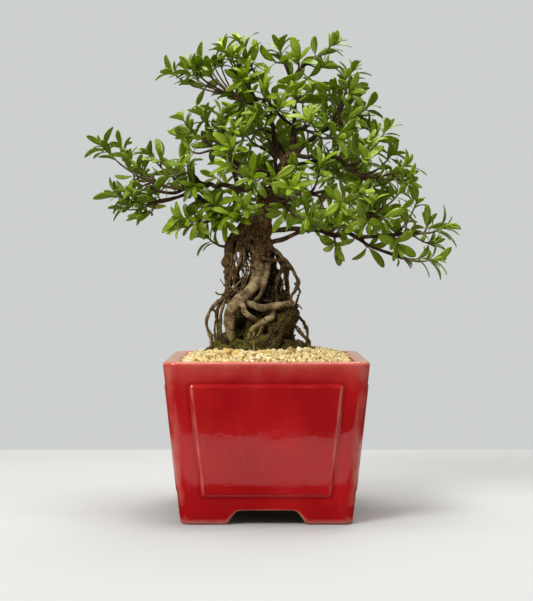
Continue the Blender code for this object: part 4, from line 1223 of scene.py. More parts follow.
@dataclass(frozen=True)
class LeafGreen(Finish):
    """Satin leaf with a pale midrib and faint side veins, lit through from behind."""

    side: LeafSide
    old: Colour = (0.045, 0.080, 0.001)
    ripe: Colour = (0.235, 0.360, 0.002)
    fresh: Colour = (0.545, 0.690, 0.070)
    lit: Colour = (0.50, 0.62, 0.01)
    midrib: Colour = (0.50, 0.60, 0.10)
    dull: Colour = (0.28, 0.36, 0.06)
    veins: float = 9.0
    sweep: float = 2.2
    through: float = 0.30

    def material(self) -> Material:
        """The finish as a material."""
        g, at = self.start(self.side.value)
        along, cloud = g.mark("along"), g.noise(at, 5 * MM)
        tone = g.plus(g.mark("tone"), g.swing(cloud, 0.10))
        colour = g.ramp(tone, ((0, self.old), (0.45, self.ripe), (1, self.fresh)))
        wide = g.sum("ABSOLUTE", g.mark("across"))
        waves = g.times(g.sum("SUBTRACT", g.times(along, self.veins), g.times(wide, self.sweep)), math.tau)
        vein = g.times(g.span(g.sum("SINE", waves), 0.80, 1.0), g.span(wide, 0.95, 0.5))
        rib = g.times(g.span(wide, 0.13, 0.03), g.span(along, 1.0, 0.75))
        colour = g.mix(g.times(vein, 0.35), colour, g.mix(0.5, colour, self.fresh))
        colour = g.mix(g.times(rib, 0.55), colour, g.mix(0.5, colour, self.midrib))
        rough, shine = g.swing(cloud, 0.16, 0.28), 0.55
        if self.side is LeafSide.UNDER:
            colour = g.mix(0.4, colour, self.dull)
            rough, shine = g.swing(cloud, 0.6, 0.75), 0.2
        relief = g.sum("SUBTRACT", g.times(cloud, 0.6), g.sum("MAXIMUM", g.times(vein, 0.5), rib))
        finish = g.dress(colour, rough, g.bump((relief, 0.25 * MM, 0.6)), shine)
        glow = g.node("BsdfTranslucent", Color=g.mix(0.6, colour, self.lit)).outputs[0]
        leaf = g.tree.nodes["Principled BSDF"].outputs[0]
        both = g.node("MixShader", i0=self.through, i1=leaf, i2=glow).outputs[0]
        g.put(g.tree.nodes["Material Output"], Surface=both)
        return finish


@dataclass(frozen=True)
class ShootSkin(Finish):
    """Young shoots, red-brown below and green at the tips, with fine down."""

    red: Colour = (0.095, 0.050, 0.015)
    green: Colour = (0.17, 0.20, 0.025)

    def material(self) -> Material:
        """The finish as a material."""
        g, at = self.start("shoot")
        tone = g.plus(g.mark("along"), g.swing(g.noise(at, 4 * MM), 0.2))
        colour = g.mix(g.span(tone, 0.45, 1.0), self.red, self.green)
        return g.dress(colour, 0.6, g.bump((g.noise(at, 0.5 * MM), 0.1 * MM, 0.5)))


@dataclass(frozen=True)
class StudioPaper(Finish):
    """Plain matt paper of the floor and the cards."""

    name: str
    colour: Colour

    def material(self) -> Material:
        """The finish as a material."""
        g, at = self.start(self.name)
        colour = g.mix(g.noise(at, 0.4), self.colour, tuple(0.97 * c for c in self.colour))
        return g.dress(colour, 0.9, g.bump((g.noise(at, 2 * MM), 0.1 * MM, 0.1)), 0.2)


Band = tuple[np.ndarray, np.ndarray, np.ndarray]


def band(ring: np.ndarray, edge: np.ndarray | float = 0.0, bare: float = 0.0) -> Band:
    """Ring of points with its marks for the glaze: how much of an edge it is, and whether it is bare clay."""
    return ring, np.full(len(ring), edge), np.full(len(ring), bare)


@dataclass
class Pot:
    """Square tapered pot with a raised panel on each face, L-shaped feet and a drain hole."""

    rim: float = 200 * MM
    base: float = 168 * MM
    height: float = 158.6 * MM
    wall: float = 14 * MM
    rim_corner: float = 13 * MM
    base_corner: float = 11 * MM
    under: float = 14 * MM
    floor: float = 10 * MM
    arch_base: float = 79 * MM
    arch_top: float = 59 * MM
    arch_corner: float = 4 * MM
    arch_fillet: float = 0.9 * MM
    foot: float = 20 * MM
    panel_z: Pair = (27.5 * MM, 137 * MM)
    panel_width: Pair = (125.6 * MM, 149 * MM)
    panel_corner: float = 3.5 * MM
    proud: float = 2 * MM
    slope: float = 3 * MM
    drain: float = 26 * MM
    straight: float = 73.0
    columns: tuple[float, ...] = (
        0, 8, 16, 22, 26, 28.5, 30, 31.5, 34, 37, 39.5, 41, 45, 50, 54, *range(56, 67), 68, 70.5, 73)
    corner_steps: int = 9
    foot_rows: tuple[Pair, ...] = (
        (0, 2.2), (0.35, 1.2), (1, 0.45), (2.4, 0), (6, 0), (11, 0), (16, 0))
    rim_rows: tuple[Point, ...] = (
        (155.2, 0, 0.45), (156.6, 0.3, 0.75), (157.7, 1.1, 1), (158.4, 2.2, 0.8), (158.6, 3.6, 0.6))
    stations: list[tuple[int, float, float]] = field(init=False)

    def __post_init__(self) -> None:
        """List the columns: face, place along its straight part, and share of the corner that follows."""
        row = sorted({-c for c in self.columns} | set(self.columns))
        turns = [k / self.corner_steps for k in range(1, self.corner_steps)]
        self.stations = []
        for face in range(4):
            self.stations += [(face, place, 0.0) for place in row]
            self.stations += [(face, self.straight, turn) for turn in turns]

    def half(self, z: float) -> float:
        """Half the outer width at height z."""
        return (self.base + (self.rim - self.base) * z / self.height) / 2

    def corner(self, z: float) -> float:
        """Radius of the upright edges at height z."""
        return self.base_corner + (self.rim_corner - self.base_corner) * z / self.height

    def arches(self) -> list[float]:
        """Height of the underside at each column."""
        half_top, half_low = self.arch_top / 2, self.arch_base / 2
        heights = []
        for _, place, share in self.stations:
            x = abs(place) * MM
            if share or x >= half_low:
                heights.append(0.0)
                continue
            rise = min(1.0, (half_low - x) / (half_low - half_top))
            soft = held((x - half_top + self.arch_corner) / (2 * self.arch_corner))
            fillet = self.arch_fillet * math.sin(math.pi * soft) if x < half_low - 2 * MM else 0
            heights.append(self.under * rise - fillet)
        return heights

    def panel(self, x: float, z: float) -> Pair:
        """Relief of a face.

        Args:
            x: Place across the face.
            z: Height.

        Returns:
            How far the face stands proud there, and how much of an edge it is.
        """
        low, high = self.panel_z
        share = (z - low) / (high - low)
        half = (self.panel_width[0] + (self.panel_width[1] - self.panel_width[0]) * share) / 2
        dx, dz = abs(x) - half, abs(z - (low + high) / 2) - (high - low) / 2
        r = self.panel_corner
        inside = -(min(max(dx + r, dz + r), 0) + math.hypot(max(dx + r, 0), max(dz + r, 0)) - r)
        t = held((inside + 0.4 * MM) / (self.slope + 0.4 * MM))
        lift = self.proud * t * t * (3 - 2 * t)
        crest = math.exp(-((inside - 0.7 * self.slope) / (1.4 * MM)) ** 2)
        groove = math.exp(-((inside + 1.6 * MM) / (2.2 * MM)) ** 2)
        # Upright crests take more of the pale edge colour than level ones: painted highlight over the thin
        # glaze.
        side = 1.0 if dx > dz else 0.3
        worn = 0.8 + 0.45 * noise.noise(Vector((x, z, 0)) / (16 * MM))
        return lift, 0.95 * side * worn * crest - 0.5 * groove

    def ring(self, half: float, corner: float, z: list[float] | float, round_in: float = 0.0) -> np.ndarray:
        """Points round the pot at one level.

        Args:
            half: Half the width there.
            corner: Radius of the upright edges there.
            z: Height, one for all columns or one a column.
            round_in: Share by which the ring is drawn to a circle of the drain's size.

        Returns:
            The points, one a column.
        """
        points = []
        flat = half - corner
        within = 65 * MM < half < self.half(0) - 1 * MM
        for k, (face, place, share) in enumerate(self.stations):
            if share == 0.0:
                x = place * MM if within and abs(place) < 45 else place * flat / self.straight
                local = Vector((x, -half))
            else:
                angle = -math.pi / 2 + share * math.pi / 2
                local = Vector((flat + corner * math.cos(angle), -flat + corner * math.sin(angle)))
            local = Matrix.Rotation(face * math.pi / 2, 2) @ local
            if round_in:
                local = local.lerp(local.normalized() * self.drain / 2, round_in)
            points.append((local.x, local.y, z if np.isscalar(z) else z[k]))
        return np.array(points)

    def outer(self) -> list[Band]:
        """Rings of the outside from the feet to the rim."""
        arches = self.arches()
        rings = []
        for rise, inset in self.foot_rows:
            heights = [a + rise * MM * (self.foot - a) / self.foot for a in arches]
            ring = self.ring(self.half(rise * MM), self.corner(rise * MM), heights)
            pull = np.array([self.half(h) - inset * MM for h in heights]) / self.half(rise * MM)
            ring[:, :2] *= pull[:, None]
            rings.append(band(ring, 0.9 * math.exp(-((rise - 2.0) / 1.6) ** 2), 1.0 if rise < 0.9 else 0.0))
        levels = [20, 22.5, 25, *(26 + 0.8 * k for k in range(11)), *range(40, 128, 8)]
        for level in [*levels, *(129 + 0.8 * k for k in range(14)), 142, 145, 148.5, 152]:
            z = level * MM
            ring = self.ring(self.half(z), self.corner(z), z)
            edge = np.zeros(len(ring))
            # Painted reflection: the pale edge colour grows towards the rim.
            upper = 0.42 * max(0.0, (z - 138 * MM) / (20 * MM))
            for k, (face, place, share) in enumerate(self.stations):
                if share == 0.0:
                    lift, edge[k] = self.panel(place * (self.half(z) - self.corner(z)) / self.straight, z)
                    ring[k, :2] += Matrix.Rotation(face * math.pi / 2, 2) @ Vector((0, -lift))
                else:
                    # Painted highlight down the rounded upright corners, over the thin glaze.
                    edge[k] = 0.5 * math.exp(-((share - 0.5) / 0.33) ** 2)
            rings.append(band(ring, edge + upper))
        # The rim lip pales where the glaze runs thin, with painted reflection on it.
        for z, inset, crest in self.rim_rows:
            ring = self.ring(self.half(z * MM) - inset * MM, self.corner(z * MM) - inset * MM / 2, z * MM)
            rings.append(band(ring, crest))
        return rings

    def inner(self) -> list[Band]:
        """Rings down the inside, over the floor, through the drain hole and back under the feet."""
        top, wall, floor = self.height, self.wall, self.under + self.floor
        rings = []
        # The inner lip of the rim pales where the glaze runs thin, with painted reflection on it.
        for z, inset, crest, bare in (
                (top, wall - 3.4 * MM, 0.5, 0), (top - 0.5 * MM, wall - 1.5 * MM, 0.7, 0),
                (top - 1.8 * MM, wall, 0.5, 0), (top - 8 * MM, wall, 0, 0), (100 * MM, wall, 0, 1),
                (50 * MM, wall, 0, 1), (floor + 3 * MM, wall, 0, 1), (floor, wall + 3 * MM, 0, 1)):
            rings.append(band(self.ring(self.half(z) - inset, self.corner(z) - inset / 4, z), crest, bare))
        around_hole = ((45, 0.4, floor), (20, 1.0, floor), (20, 1.0, self.under), (45, 0.4, self.under))
        for half, round_in, z in around_hole:
            rings.append(band(self.ring(half * MM, 6 * MM, z, round_in), bare=1.0))
        for limit in (None, self.under - 0.1 * MM):
            heights = [self.under if limit is None else min(arch, limit) for arch in self.arches()]
            rings.append(band(self.ring(self.base / 2 - wall, self.base_corner / 2, heights), bare=1.0))
        return rings

    def make(self) -> Object:
        """Build the pot and dress it in its glaze."""
        rings = self.outer() + self.inner()
        index = np.arange(len(rings) * len(self.stations)).reshape(len(rings), -1)
        points, edge, bare = (np.concatenate([ring[k] for ring in rings]) for k in range(3))
        sheaf = Sheaf()
        sheaf.add(points, [quads(index, (1, 1))], edge=edge, bare=bare)
        return settle(sheaf.build("pot_glazed", [RedGlaze().material()]), "red_glaze", "pot")


@dataclass
class Soil:
    """Pumice grains on a bed that fills the pot, mounded a little towards the trunk."""

    pot: Pot
    edge_z: float = 155 * MM
    rise: float = 14 * MM
    gap: float = 0.5 * MM
    cell: float = 1 * MM
    bed_cells: int = 90
    bed_sunk: float = 3.2 * MM
    low: float = 24.3 * MM
    kinds: int = 10
    stone_sides: int = 7
    tries: int = 24000
    places: int = 7
    radii: Pair = (1.6, 4.6)
    usual: float = 2.5
    spread: float = 0.32
    first_radius: float = 3.1 * MM
    fine_from: float = 3.6 * MM
    nestle: float = 0.42
    rise_most: float = 1.3 * MM
    boulder_rise: float = 1.4 * MM
    trunk_gap: float = 0.4

    def inside(self) -> float:
        """Half the width of the fill at its top."""
        return self.pot.half(self.edge_z) - self.pot.wall - self.gap

    def surface(self, x: float, y: float) -> float:
        """Height that the grains reach at a place.

        Args:
            x: Place across.
            y: Place in depth.

        Returns:
            The height.
        """
        u, v = x / self.inside(), y / self.inside()
        swell = 1.1 * MM * noise.noise(Vector((x, y, 0)) / (16 * MM))
        return self.edge_z + self.rise * max(0.0, 1 - math.hypot(u * u, v * v)) ** 0.6 + swell

    def within(self, i: int, j: int, half: float) -> Pair:
        """Place of a cell's corner in a square with rounded corners.

        Args:
            i: Its number across.
            j: Its number in depth.
            half: Half the width of the square.

        Returns:
            Its x and y.
        """
        corner = self.pot.corner(self.edge_z) + self.gap
        x, y, core = (2 * i / self.bed_cells - 1) * half, (2 * j / self.bed_cells - 1) * half, half - corner
        over = Vector((max(abs(x) - core, 0), max(abs(y) - core, 0)))
        if over.x and over.y and over.length > corner:
            over *= corner / over.length
            x, y = math.copysign(core + over.x, x), math.copysign(core + over.y, y)
        return x, y

    def bed(self, finish: Material) -> Object:
        """Closed body under the grains, with dust and fine grit on its top.

        Args:
            finish: Its finish.

        Returns:
            The piece.
        """
        size = self.bed_cells + 1
        grid = []
        for k in range(size * size):
            x, y = self.within(k % size, k // size, self.inside())
            grit = 0.7 * MM * noise.noise(Vector((x, y, 3)) / (2.2 * MM))
            grid.append((x, y, self.surface(x, y) - self.bed_sunk + grit))
        index = np.arange(size * size).reshape(size, size)
        rim = np.concatenate([index[0, :-1], index[:-1, -1], index[-1, :0:-1], index[:0:-1, 0]])
        half = self.pot.half(self.low) - self.pot.wall - self.gap
        base = [(*self.within(k % size, k // size, half), self.low) for k in rim]
        low = np.arange(len(base)) + len(grid)
        sheaf, sides = Sheaf(), quads(np.stack([low, rim]), (0, 1))
        sheaf.add(np.array(grid + base), [quads(index), sides, low[None, ::-1]], tone=0.3)
        return settle(sheaf.build("soil_bed", [finish]), "pumice", "soil")

    def stones(self, rng: random.Random, fine: int) -> list[tuple[np.ndarray, np.ndarray]]:
        """A few different stones, each a ball cut flat on several sides.

        Args:
            rng: Seeded draws.
            fine: How finely the ball is divided.

        Returns:
            Points and triangles of each stone.
        """
        stones = []
        for _ in range(self.kinds):
            form = bmesh.new()
            bmesh.ops.create_icosphere(form, subdivisions=fine, radius=1)
            points = np.array([v.co[:] for v in form.verts])
            faces = np.array([[v.index for v in f.verts] for f in form.faces])
            form.free()
            for _ in range(self.stone_sides):
                cut = scatter(rng).normalized()
                points -= np.outer(np.maximum(points @ np.array(cut) - rng.uniform(0.55, 0.82), 0), cut)
            rough = [
                1 + 0.22 * noise.noise(Vector(p) * 2.3 + Vector((rng.random(), 0, 0)) * 9) for p in points]
            stones.append((points * np.array(rough)[:, None], faces))
        return stones

    def grains(self, trunk: list[BVHTree], finish: Material) -> Object:
        """Loose grains dropped one by one to the lowest of a few places.

        Args:
            trunk: Surfaces of trunk, roots and core, which the grains stay out of.
            finish: Their finish.

        Returns:
            The piece.
        """
        rng = seeded("grains")
        half = self.inside() - 0.3 * MM
        size = int(2 * half / self.cell) + 1
        ticks = -half + self.cell * np.arange(size)
        goal = np.array([[self.surface(x, y) for x in ticks] for y in ticks])
        heap = goal - self.bed_sunk
        fine, plain, sheaf = self.stones(rng, 3), self.stones(rng, 2), Sheaf()
        for order in range(self.tries):
            radius = held(rng.lognormvariate(math.log(self.usual), self.spread), *self.radii) * MM
            if order < self.tries / 15:
                radius = max(radius, self.first_radius)
            span = half - radius
            spots = [(rng.uniform(-span, span), rng.uniform(-span, span)) for _ in range(self.places)]
            drawn = order < len(BOULDERS)
            if drawn:
                x, y, radius = (value * MM for value in BOULDERS[order])
                spots = [(x, y)]
            cells = [(int((x + half) / self.cell), int((y + half) / self.cell)) for x, y in spots]
            best = max(range(len(spots)), key=lambda k: goal[cells[k][::-1]] - heap[cells[k][::-1]])
            (x, y), (i, j) = spots[best], cells[best]
            reach = max(1, int(radius / self.cell))
            across, deep = (slice(max(n - reach, 0), min(n + reach + 1, size)) for n in (i, j))
            window = heap[deep, across]
            z = float(np.percentile(window, 70)) + self.nestle * radius
            if drawn:
                z = goal[j, i] + self.boulder_rise - 0.3 * radius
            elif z + 0.62 * radius > goal[j, i] + self.rise_most:
                continue
            place = Vector((x, y, z))
            hits, least = [tree.find_nearest(place) for tree in trunk], self.trunk_gap * radius
            if any((place - near).dot(normal) < 0 or gone < least for near, normal, _, gone in hits):
                continue
            dx, dy = np.meshgrid(ticks[across] - x, ticks[deep] - y)
            dome = z + np.sqrt(np.maximum(radius ** 2 - dx ** 2 - dy ** 2, 0)) * 0.8
            window[:] = np.where(dx ** 2 + dy ** 2 < radius ** 2, np.maximum(window, dome), window)
            kinds = fine if radius > self.fine_from else plain
            points, faces = kinds[rng.randrange(len(kinds))]
            turn = Matrix.Rotation(rng.uniform(0, math.tau), 3, scatter(rng))
            stretch = np.array([rng.uniform(0.85, 1.25), rng.uniform(0.8, 1.1), rng.uniform(0.7, 0.95)])
            body = (points * stretch * radius) @ np.array(turn).T + np.array(place)
            sheaf.add(body, [faces], tone=held(rng.gauss(0.6, 0.16)))
        return settle(sheaf.build("soil_grains", [finish], sharp=32), "pumice", "soil")


@dataclass
class Bar:
    """One root, limb or twig: its path, its radii and how its skin looks."""

    path: Path
    radii: list[float]
    bark: float = 1.0
    muck: float = 0.0
    young: float = 0.0
    sides: int = 10
    lump: float = 0.08

    def rings(self, rng: random.Random) -> Rings:
        """Form of the bar, with rounded ends.

        Args:
            rng: Seeded draws, for the offset of its grain.

        Returns:
            Points, faces by size, marks by name, and for each ring its centre, frame, distance and looks.
        """
        first, last = self.radii[0], self.radii[-1]
        head, tail = (self.path[0] - self.path[1]).normalized(), (self.path[-1] - self.path[-2]).normalized()
        path = [self.path[0] + head * first * 0.75, self.path[0] + head * first * 0.5, *self.path,
                self.path[-1] + tail * last * 0.5, self.path[-1] + tail * last * 0.75]
        radii = [first * 0.4, first * 0.8, *self.radii, last * 0.8, last * 0.4]
        angles = np.arange(self.sides) * math.tau / self.sides
        cos, sin = np.cos(angles), np.sin(angles)
        start, gone, points, marks, places = rng.uniform(0, 5), 0.0, [], [], []
        shares = np.linspace(0, 1, len(path))
        for k, (point, radius, (along, side, other)) in enumerate(zip(path, radii, frames(path))):
            gone += (point - path[k - 1]).length if k else 0.0
            size = radius * np.array([
                1 + self.lump * noise.noise((point + (side * c + other * s) * radius) / (4 * radius + 2 * MM))
                for c, s in zip(cos, sin)])
            points.append(np.array(point) + np.outer(cos * size, side) + np.outer(sin * size, other))
            flat = [np.full(self.sides, value) for value in (start + gone, shares[k])]
            marks.append(np.stack([cos * radius, sin * radius, *flat]))
            places.append((point, along, side, other, start + gone, self.bark, self.muck, radius))
        index = np.arange(len(path) * self.sides).reshape(len(path), self.sides)
        named = dict(zip(("fibre_x", "fibre_y", "fibre_s", "along"), np.concatenate(marks, axis=1)))
        caps = np.stack([index[0][::-1], index[-1]])
        return np.concatenate(points), [quads(index, (0, 1)), caps], named, places


@dataclass
class Wood:
    """Trunk, roots, limbs and twigs, grown along the same routes as the solid tree."""

    root_step: float = 15 * MM
    limb_step: float = 20 * MM
    fine_step: float = 2 * MM
    voxel: float = 0.9 * MM
    core_voxel: float = 1.25 * MM
    bark_from: float = 244 * MM
    bark_fade: float = 30 * MM
    collar: float = 0.45
    knobs: tuple[Pair, ...] = ((0.10, 7 * MM), (0.05, 2.5 * MM))
    root_knobs: tuple[Pair, ...] = ((0.15, 8 * MM), (0.08, 3 * MM))
    clods: tuple[Pair, ...] = ((1, 6.5 * MM), (0.55, 2.8 * MM), (0.25, 1.4 * MM))
    moss_from: float = 205 * MM
    moss_fade: float = 35 * MM
    ray_reach: float = 26 * MM
    foot: float = 12 * MM
    fused_to: float = 372 * MM
    loose_from: float = 364 * MM
    feet_below: float = 368 * MM
    rays: int = 14
    rough: tuple[tuple[str, float], ...] = (
        ("shoulder", 0.95), ("curtain", 0.9), ("left_thin", 0.9), ("behind", 0.95), ("back", 0.95),
        ("strand", 0.9), ("right_inner", 0.95), ("right_hidden", 0.95), ("right", 0.65),
        ("low_left", 0.55), ("wrapping", 0.85), ("front_inner", -1.0))
    footless: tuple[str, ...] = (
        "left_arm_low", "left_arm_high", "left_riser", "left_hanger", "right_riser", "right_whip")
    routes: dict[str, Stem] = field(default_factory=dict)
    twigs: list[Stem] = field(default_factory=list)

    def lay_routes(self) -> None:
        """Plain paths and radii of trunk, roots and limbs, as the solids have them."""
        for name, rows, sides in (("trunk", TRUNK, 9), ("mat", MAT, 12)):
            path, radii = [seen(*point) for *point, _ in rows], [radius * MM for *_, radius in rows]
            self.routes[name] = (path, radii, sides)
        for table, step, thick in ((ROOTS, self.root_step, 4), (LIMBS, self.limb_step, 2.5)):
            for name, (first, last, points) in table.items():
                path = smooth_path([seen(*point) for point in points], step)
                self.routes[name] = (path, tapered(path, first * MM, last * MM), 6 if first > thick else 5)

    def trunk_from(self, height: float) -> tuple[Path, list[float], int]:
        """Fine path and radii of the trunk, and the number of the first point above a height."""
        path, radii = flow(TRUNK, self.fine_step)
        return path, radii, next(k for k, point in enumerate(path) if point.z > height)

    def limb_bar(self, name: str) -> Bar:
        """Fine bar of one limb, with a collar where it leaves its parent.

        Args:
            name: Its name.

        Returns:
            The bar.
        """
        first, last, points = LIMBS[name]
        path = smooth_path([seen(*point) for point in points], self.fine_step)
        radii = tapered(path, first * MM, last * MM)
        reach = 3.5 * first * MM
        for k, point in enumerate(path):
            radii[k] *= 1 + self.collar * max(0.0, 1 - self.fine_step * k / reach) ** 1.5
            radii[k] *= 1 + uneven(point, self.knobs)
        return Bar(path, radii)

    @staticmethod
    def core_bars() -> list[Bar]:
        """Bars of the matted core and of the banks round its foot."""
        bars = [Bar(*flow(MAT, 3 * MM), bark=0.0, muck=1.0, sides=36, lump=0.18)]
        return bars + [Bar(*flow(rows, 3 * MM), bark=0.0, muck=1.0, sides=16, lump=0.3) for rows in BANKS]

    def root_bar(self, name: str, first: float, last: float, points: tuple[Point, ...]) -> Bar:
        """Fine bar of one root or strand, knobbly along its length.

        Args:
            name: Its name, which tells how rough its bark is.
            first: Radius at its start, in mm.
            last: Radius at its end, in mm.
            points: Its route, in mm in the front view.

        Returns:
            The bar.
        """
        path = smooth_path([seen(*point) for point in points], self.fine_step)
        radii = [
            radius * (1 + uneven(point, self.root_knobs))
            for radius, point in zip(tapered(path, first * MM, last * MM), path)]
        bark = next((share for word, share in self.rough if word in name), 0.0)
        return Bar(path, radii, bark=bark, sides=12, lump=0.1)

    def stout_bars(self) -> list[Bar]:
        """Bars that are fused: the trunk, the roots and the feet of the limbs."""
        path, radii, cut = self.trunk_from(self.fused_to)
        bars = [Bar(path[:cut + 1], radii[:cut + 1], bark=-1, sides=22)]
        bars += [self.root_bar(name, *rows) for name, rows in ROOTS.items()]
        bars += [self.root_bar("strand", *rows) for rows in STRANDS]
        keep = int(self.foot / self.fine_step)
        for name in LIMBS:
            bar = self.limb_bar(name)
            if bar.path[0].z <= self.feet_below and name not in self.footless:
                bars.append(Bar(bar.path[:keep], [radius * 0.98 for radius in bar.radii[:keep]], sides=12))
        return bars

    def fused(self, name: str, bars: list[Bar], voxel: float, finish: Material) -> Object:
        """Bars as one body with bark, wrinkles and matted muck worked into its surface.

        Args:
            name: Name of the piece.
            bars: The bars.
            voxel: Size of the cells that they are fused on.
            finish: The finish.

        Returns:
            The piece.
        """
        rng = seeded(name)
        sheaf, places, owner = Sheaf(), [], []
        for bar in bars:
            points, faces, _, rings = bar.rings(rng)
            owner += [len(places) + k // bar.sides for k in range(len(points))]
            places += rings
            sheaf.add(points, faces)
        piece = sheaf.build(name, [])
        tree = KDTree(len(owner))
        for k, vertex in enumerate(piece.data.vertices):
            tree.insert(vertex.co, k)
        tree.balance()
        fuse = piece.modifiers.new("fuse", "REMESH")
        fuse.mode, fuse.voxel_size, fuse.use_smooth_shade = "VOXEL", voxel, True
        bpy.context.view_layer.update()
        body = bpy.data.meshes.new_from_object(piece.evaluated_get(bpy.context.evaluated_depsgraph_get()))
        piece.modifiers.clear()
        piece.data = body
        body.name = name
        self.relax(body, 2)
        self.carve(body, tree, owner, places)
        body.materials.append(finish)
        return settle(piece, "bark", "tree")

    @staticmethod
    def relax(mesh: bpy.types.Mesh, rounds: int) -> None:
        """Even out a mesh a little, by a number of rounds.

        Args:
            mesh: The mesh.
            rounds: How many times.
        """
        count = len(mesh.vertices)
        points = np.empty(count * 3)
        mesh.vertices.foreach_get("co", points)
        points = points.reshape(-1, 3)
        edges = np.empty(len(mesh.edges) * 2, dtype=int)
        mesh.edges.foreach_get("vertices", edges)
        a, b = edges.reshape(-1, 2).T
        near = np.bincount(edges, minlength=count)[:, None]
        for _ in range(rounds):
            total = np.zeros_like(points)
            np.add.at(total, a, points[b])
            np.add.at(total, b, points[a])
            points = points * 0.5 + total / near * 0.5
        mesh.vertices.foreach_set("co", points.ravel())
        mesh.update()

    def carve(self, mesh: bpy.types.Mesh, tree: KDTree, owner: list[int], places: list[tuple]) -> None:
        """Work bark, wrinkles and muck into a fused mesh, and mark its grain for the finish.

        Args:
            mesh: The fused mesh.
            tree: Points of the bars that it was fused from.
            owner: Ring that each of those points lies on.
            places: Frames and looks of the rings.
        """
        names = ("fibre_x", "fibre_y", "fibre_s", "bark", "muck")
        rows, moved = [], []
        for vertex in mesh.vertices:
            at = vertex.co
            point, along, side, other, distance, bark, muck, radius = places[owner[tree.find(at)[1]]]
            off = at - point
            x, y, s = off.dot(side), off.dot(other), distance + off.dot(along)
            if bark < 0:
                bark = held((at.z - self.bark_from) / self.bark_fade + 0.5)
            grain = Vector((x / (3.0 * MM), y / (3.0 * MM), s / (5 * MM)))
            ridge = 0.55 - abs(noise.noise(grain)) * 1.9 + 0.45 * noise.noise(grain * 2.1)
            knob = noise.noise(at / (4.5 * MM) + Vector((3, 7, 1)))
            stout = min(1.0, radius / (5 * MM))
            cross = noise.noise(Vector((x / (6 * MM), y / (6 * MM), s / (1.7 * MM))))
            lump = noise.noise(at / (8 * MM))
            clod = uneven(at, self.clods)
            push = (1.15 * ridge + 1.2 * knob) * bark * stout + 0.2 * cross * ((1 - bark) * (1 - muck))
            push = (push + 0.55 * lump * (1 - muck) + 3.1 * clod * muck) * MM
            moved.append(at + vertex.normal * push)
            rows.append((x, y, s, bark, muck))
        moved = np.array(moved)
        marks = dict(zip(names, np.array(rows).T.copy()))
        low = np.clip((self.moss_from - moved[:, 2]) / self.moss_fade, 0, 1)
        marks["mossy"] = np.clip(marks["muck"] + low, 0, 1)
        mesh.vertices.foreach_set("co", moved.ravel())
        mesh.update()
        marks["open"] = self.openness(mesh)
        note_marks(mesh, marks)
        mesh.update()

    def openness(self, mesh: bpy.types.Mesh) -> np.ndarray:
        """Share of short rays that leave each vertex freely, which the bark finish turns into painted shade
        where few do.

        Args:
            mesh: The mesh.

        Returns:
            The share, one a vertex.
        """
        rng = seeded("open")
        ways = []
        for k in range(self.rays):
            z = (k + 0.5) / self.rays
            angle, wide = TURN * k + rng.random() * 0.2, math.sqrt(1 - z * z)
            ways.append(Vector((math.cos(angle) * wide, math.sin(angle) * wide, z)))
        tree = BVHTree.FromPolygons([v.co for v in mesh.vertices], [p.vertices[:] for p in mesh.polygons])
        share = np.zeros(len(mesh.vertices))
        for k, vertex in enumerate(mesh.vertices):
            turn = UP.rotation_difference(vertex.normal)
            start = vertex.co + vertex.normal * 0.6 * MM
            free = [tree.ray_cast(start, turn @ way, self.ray_reach)[0] is None for way in ways]
            share[k] = sum(free) / len(ways)
        a, b = np.array([edge.vertices[:] for edge in mesh.edges]).T
        count = len(share)
        near = np.bincount(a, minlength=count) + np.bincount(b, minlength=count)
        for _ in range(2):
            total = np.bincount(a, share[b], count) + np.bincount(b, share[a], count)
            share = 0.5 * share + 0.5 * total / near
        return share

    def limbs(self, finish: Material) -> Object:
        """Upper trunk, limbs and woody twigs.

        Args:
            finish: Their finish.

        Returns:
            The piece.
        """
        rng = seeded("limbs")
        path, radii, cut = self.trunk_from(self.loose_from)
        bars = [Bar(path[cut:], radii[cut:], sides=14, lump=0.1), *map(self.limb_bar, LIMBS)]
        for twig, sizes, _ in self.twigs:
            fine = smooth_path(twig, self.fine_step) if len(twig) > 2 else twig
            bars.append(Bar(fine, tapered(fine, sizes[0] * 1.1, sizes[-1]), young=0.6, sides=7, lump=0.12))
        sheaf = Sheaf()
        for bar in bars:
            points, faces, marks, _ = bar.rings(rng)
            sheaf.add(points, faces, young=bar.young, **marks)
        return settle(sheaf.build("limbs_and_twigs", [finish]), "bark", "tree")


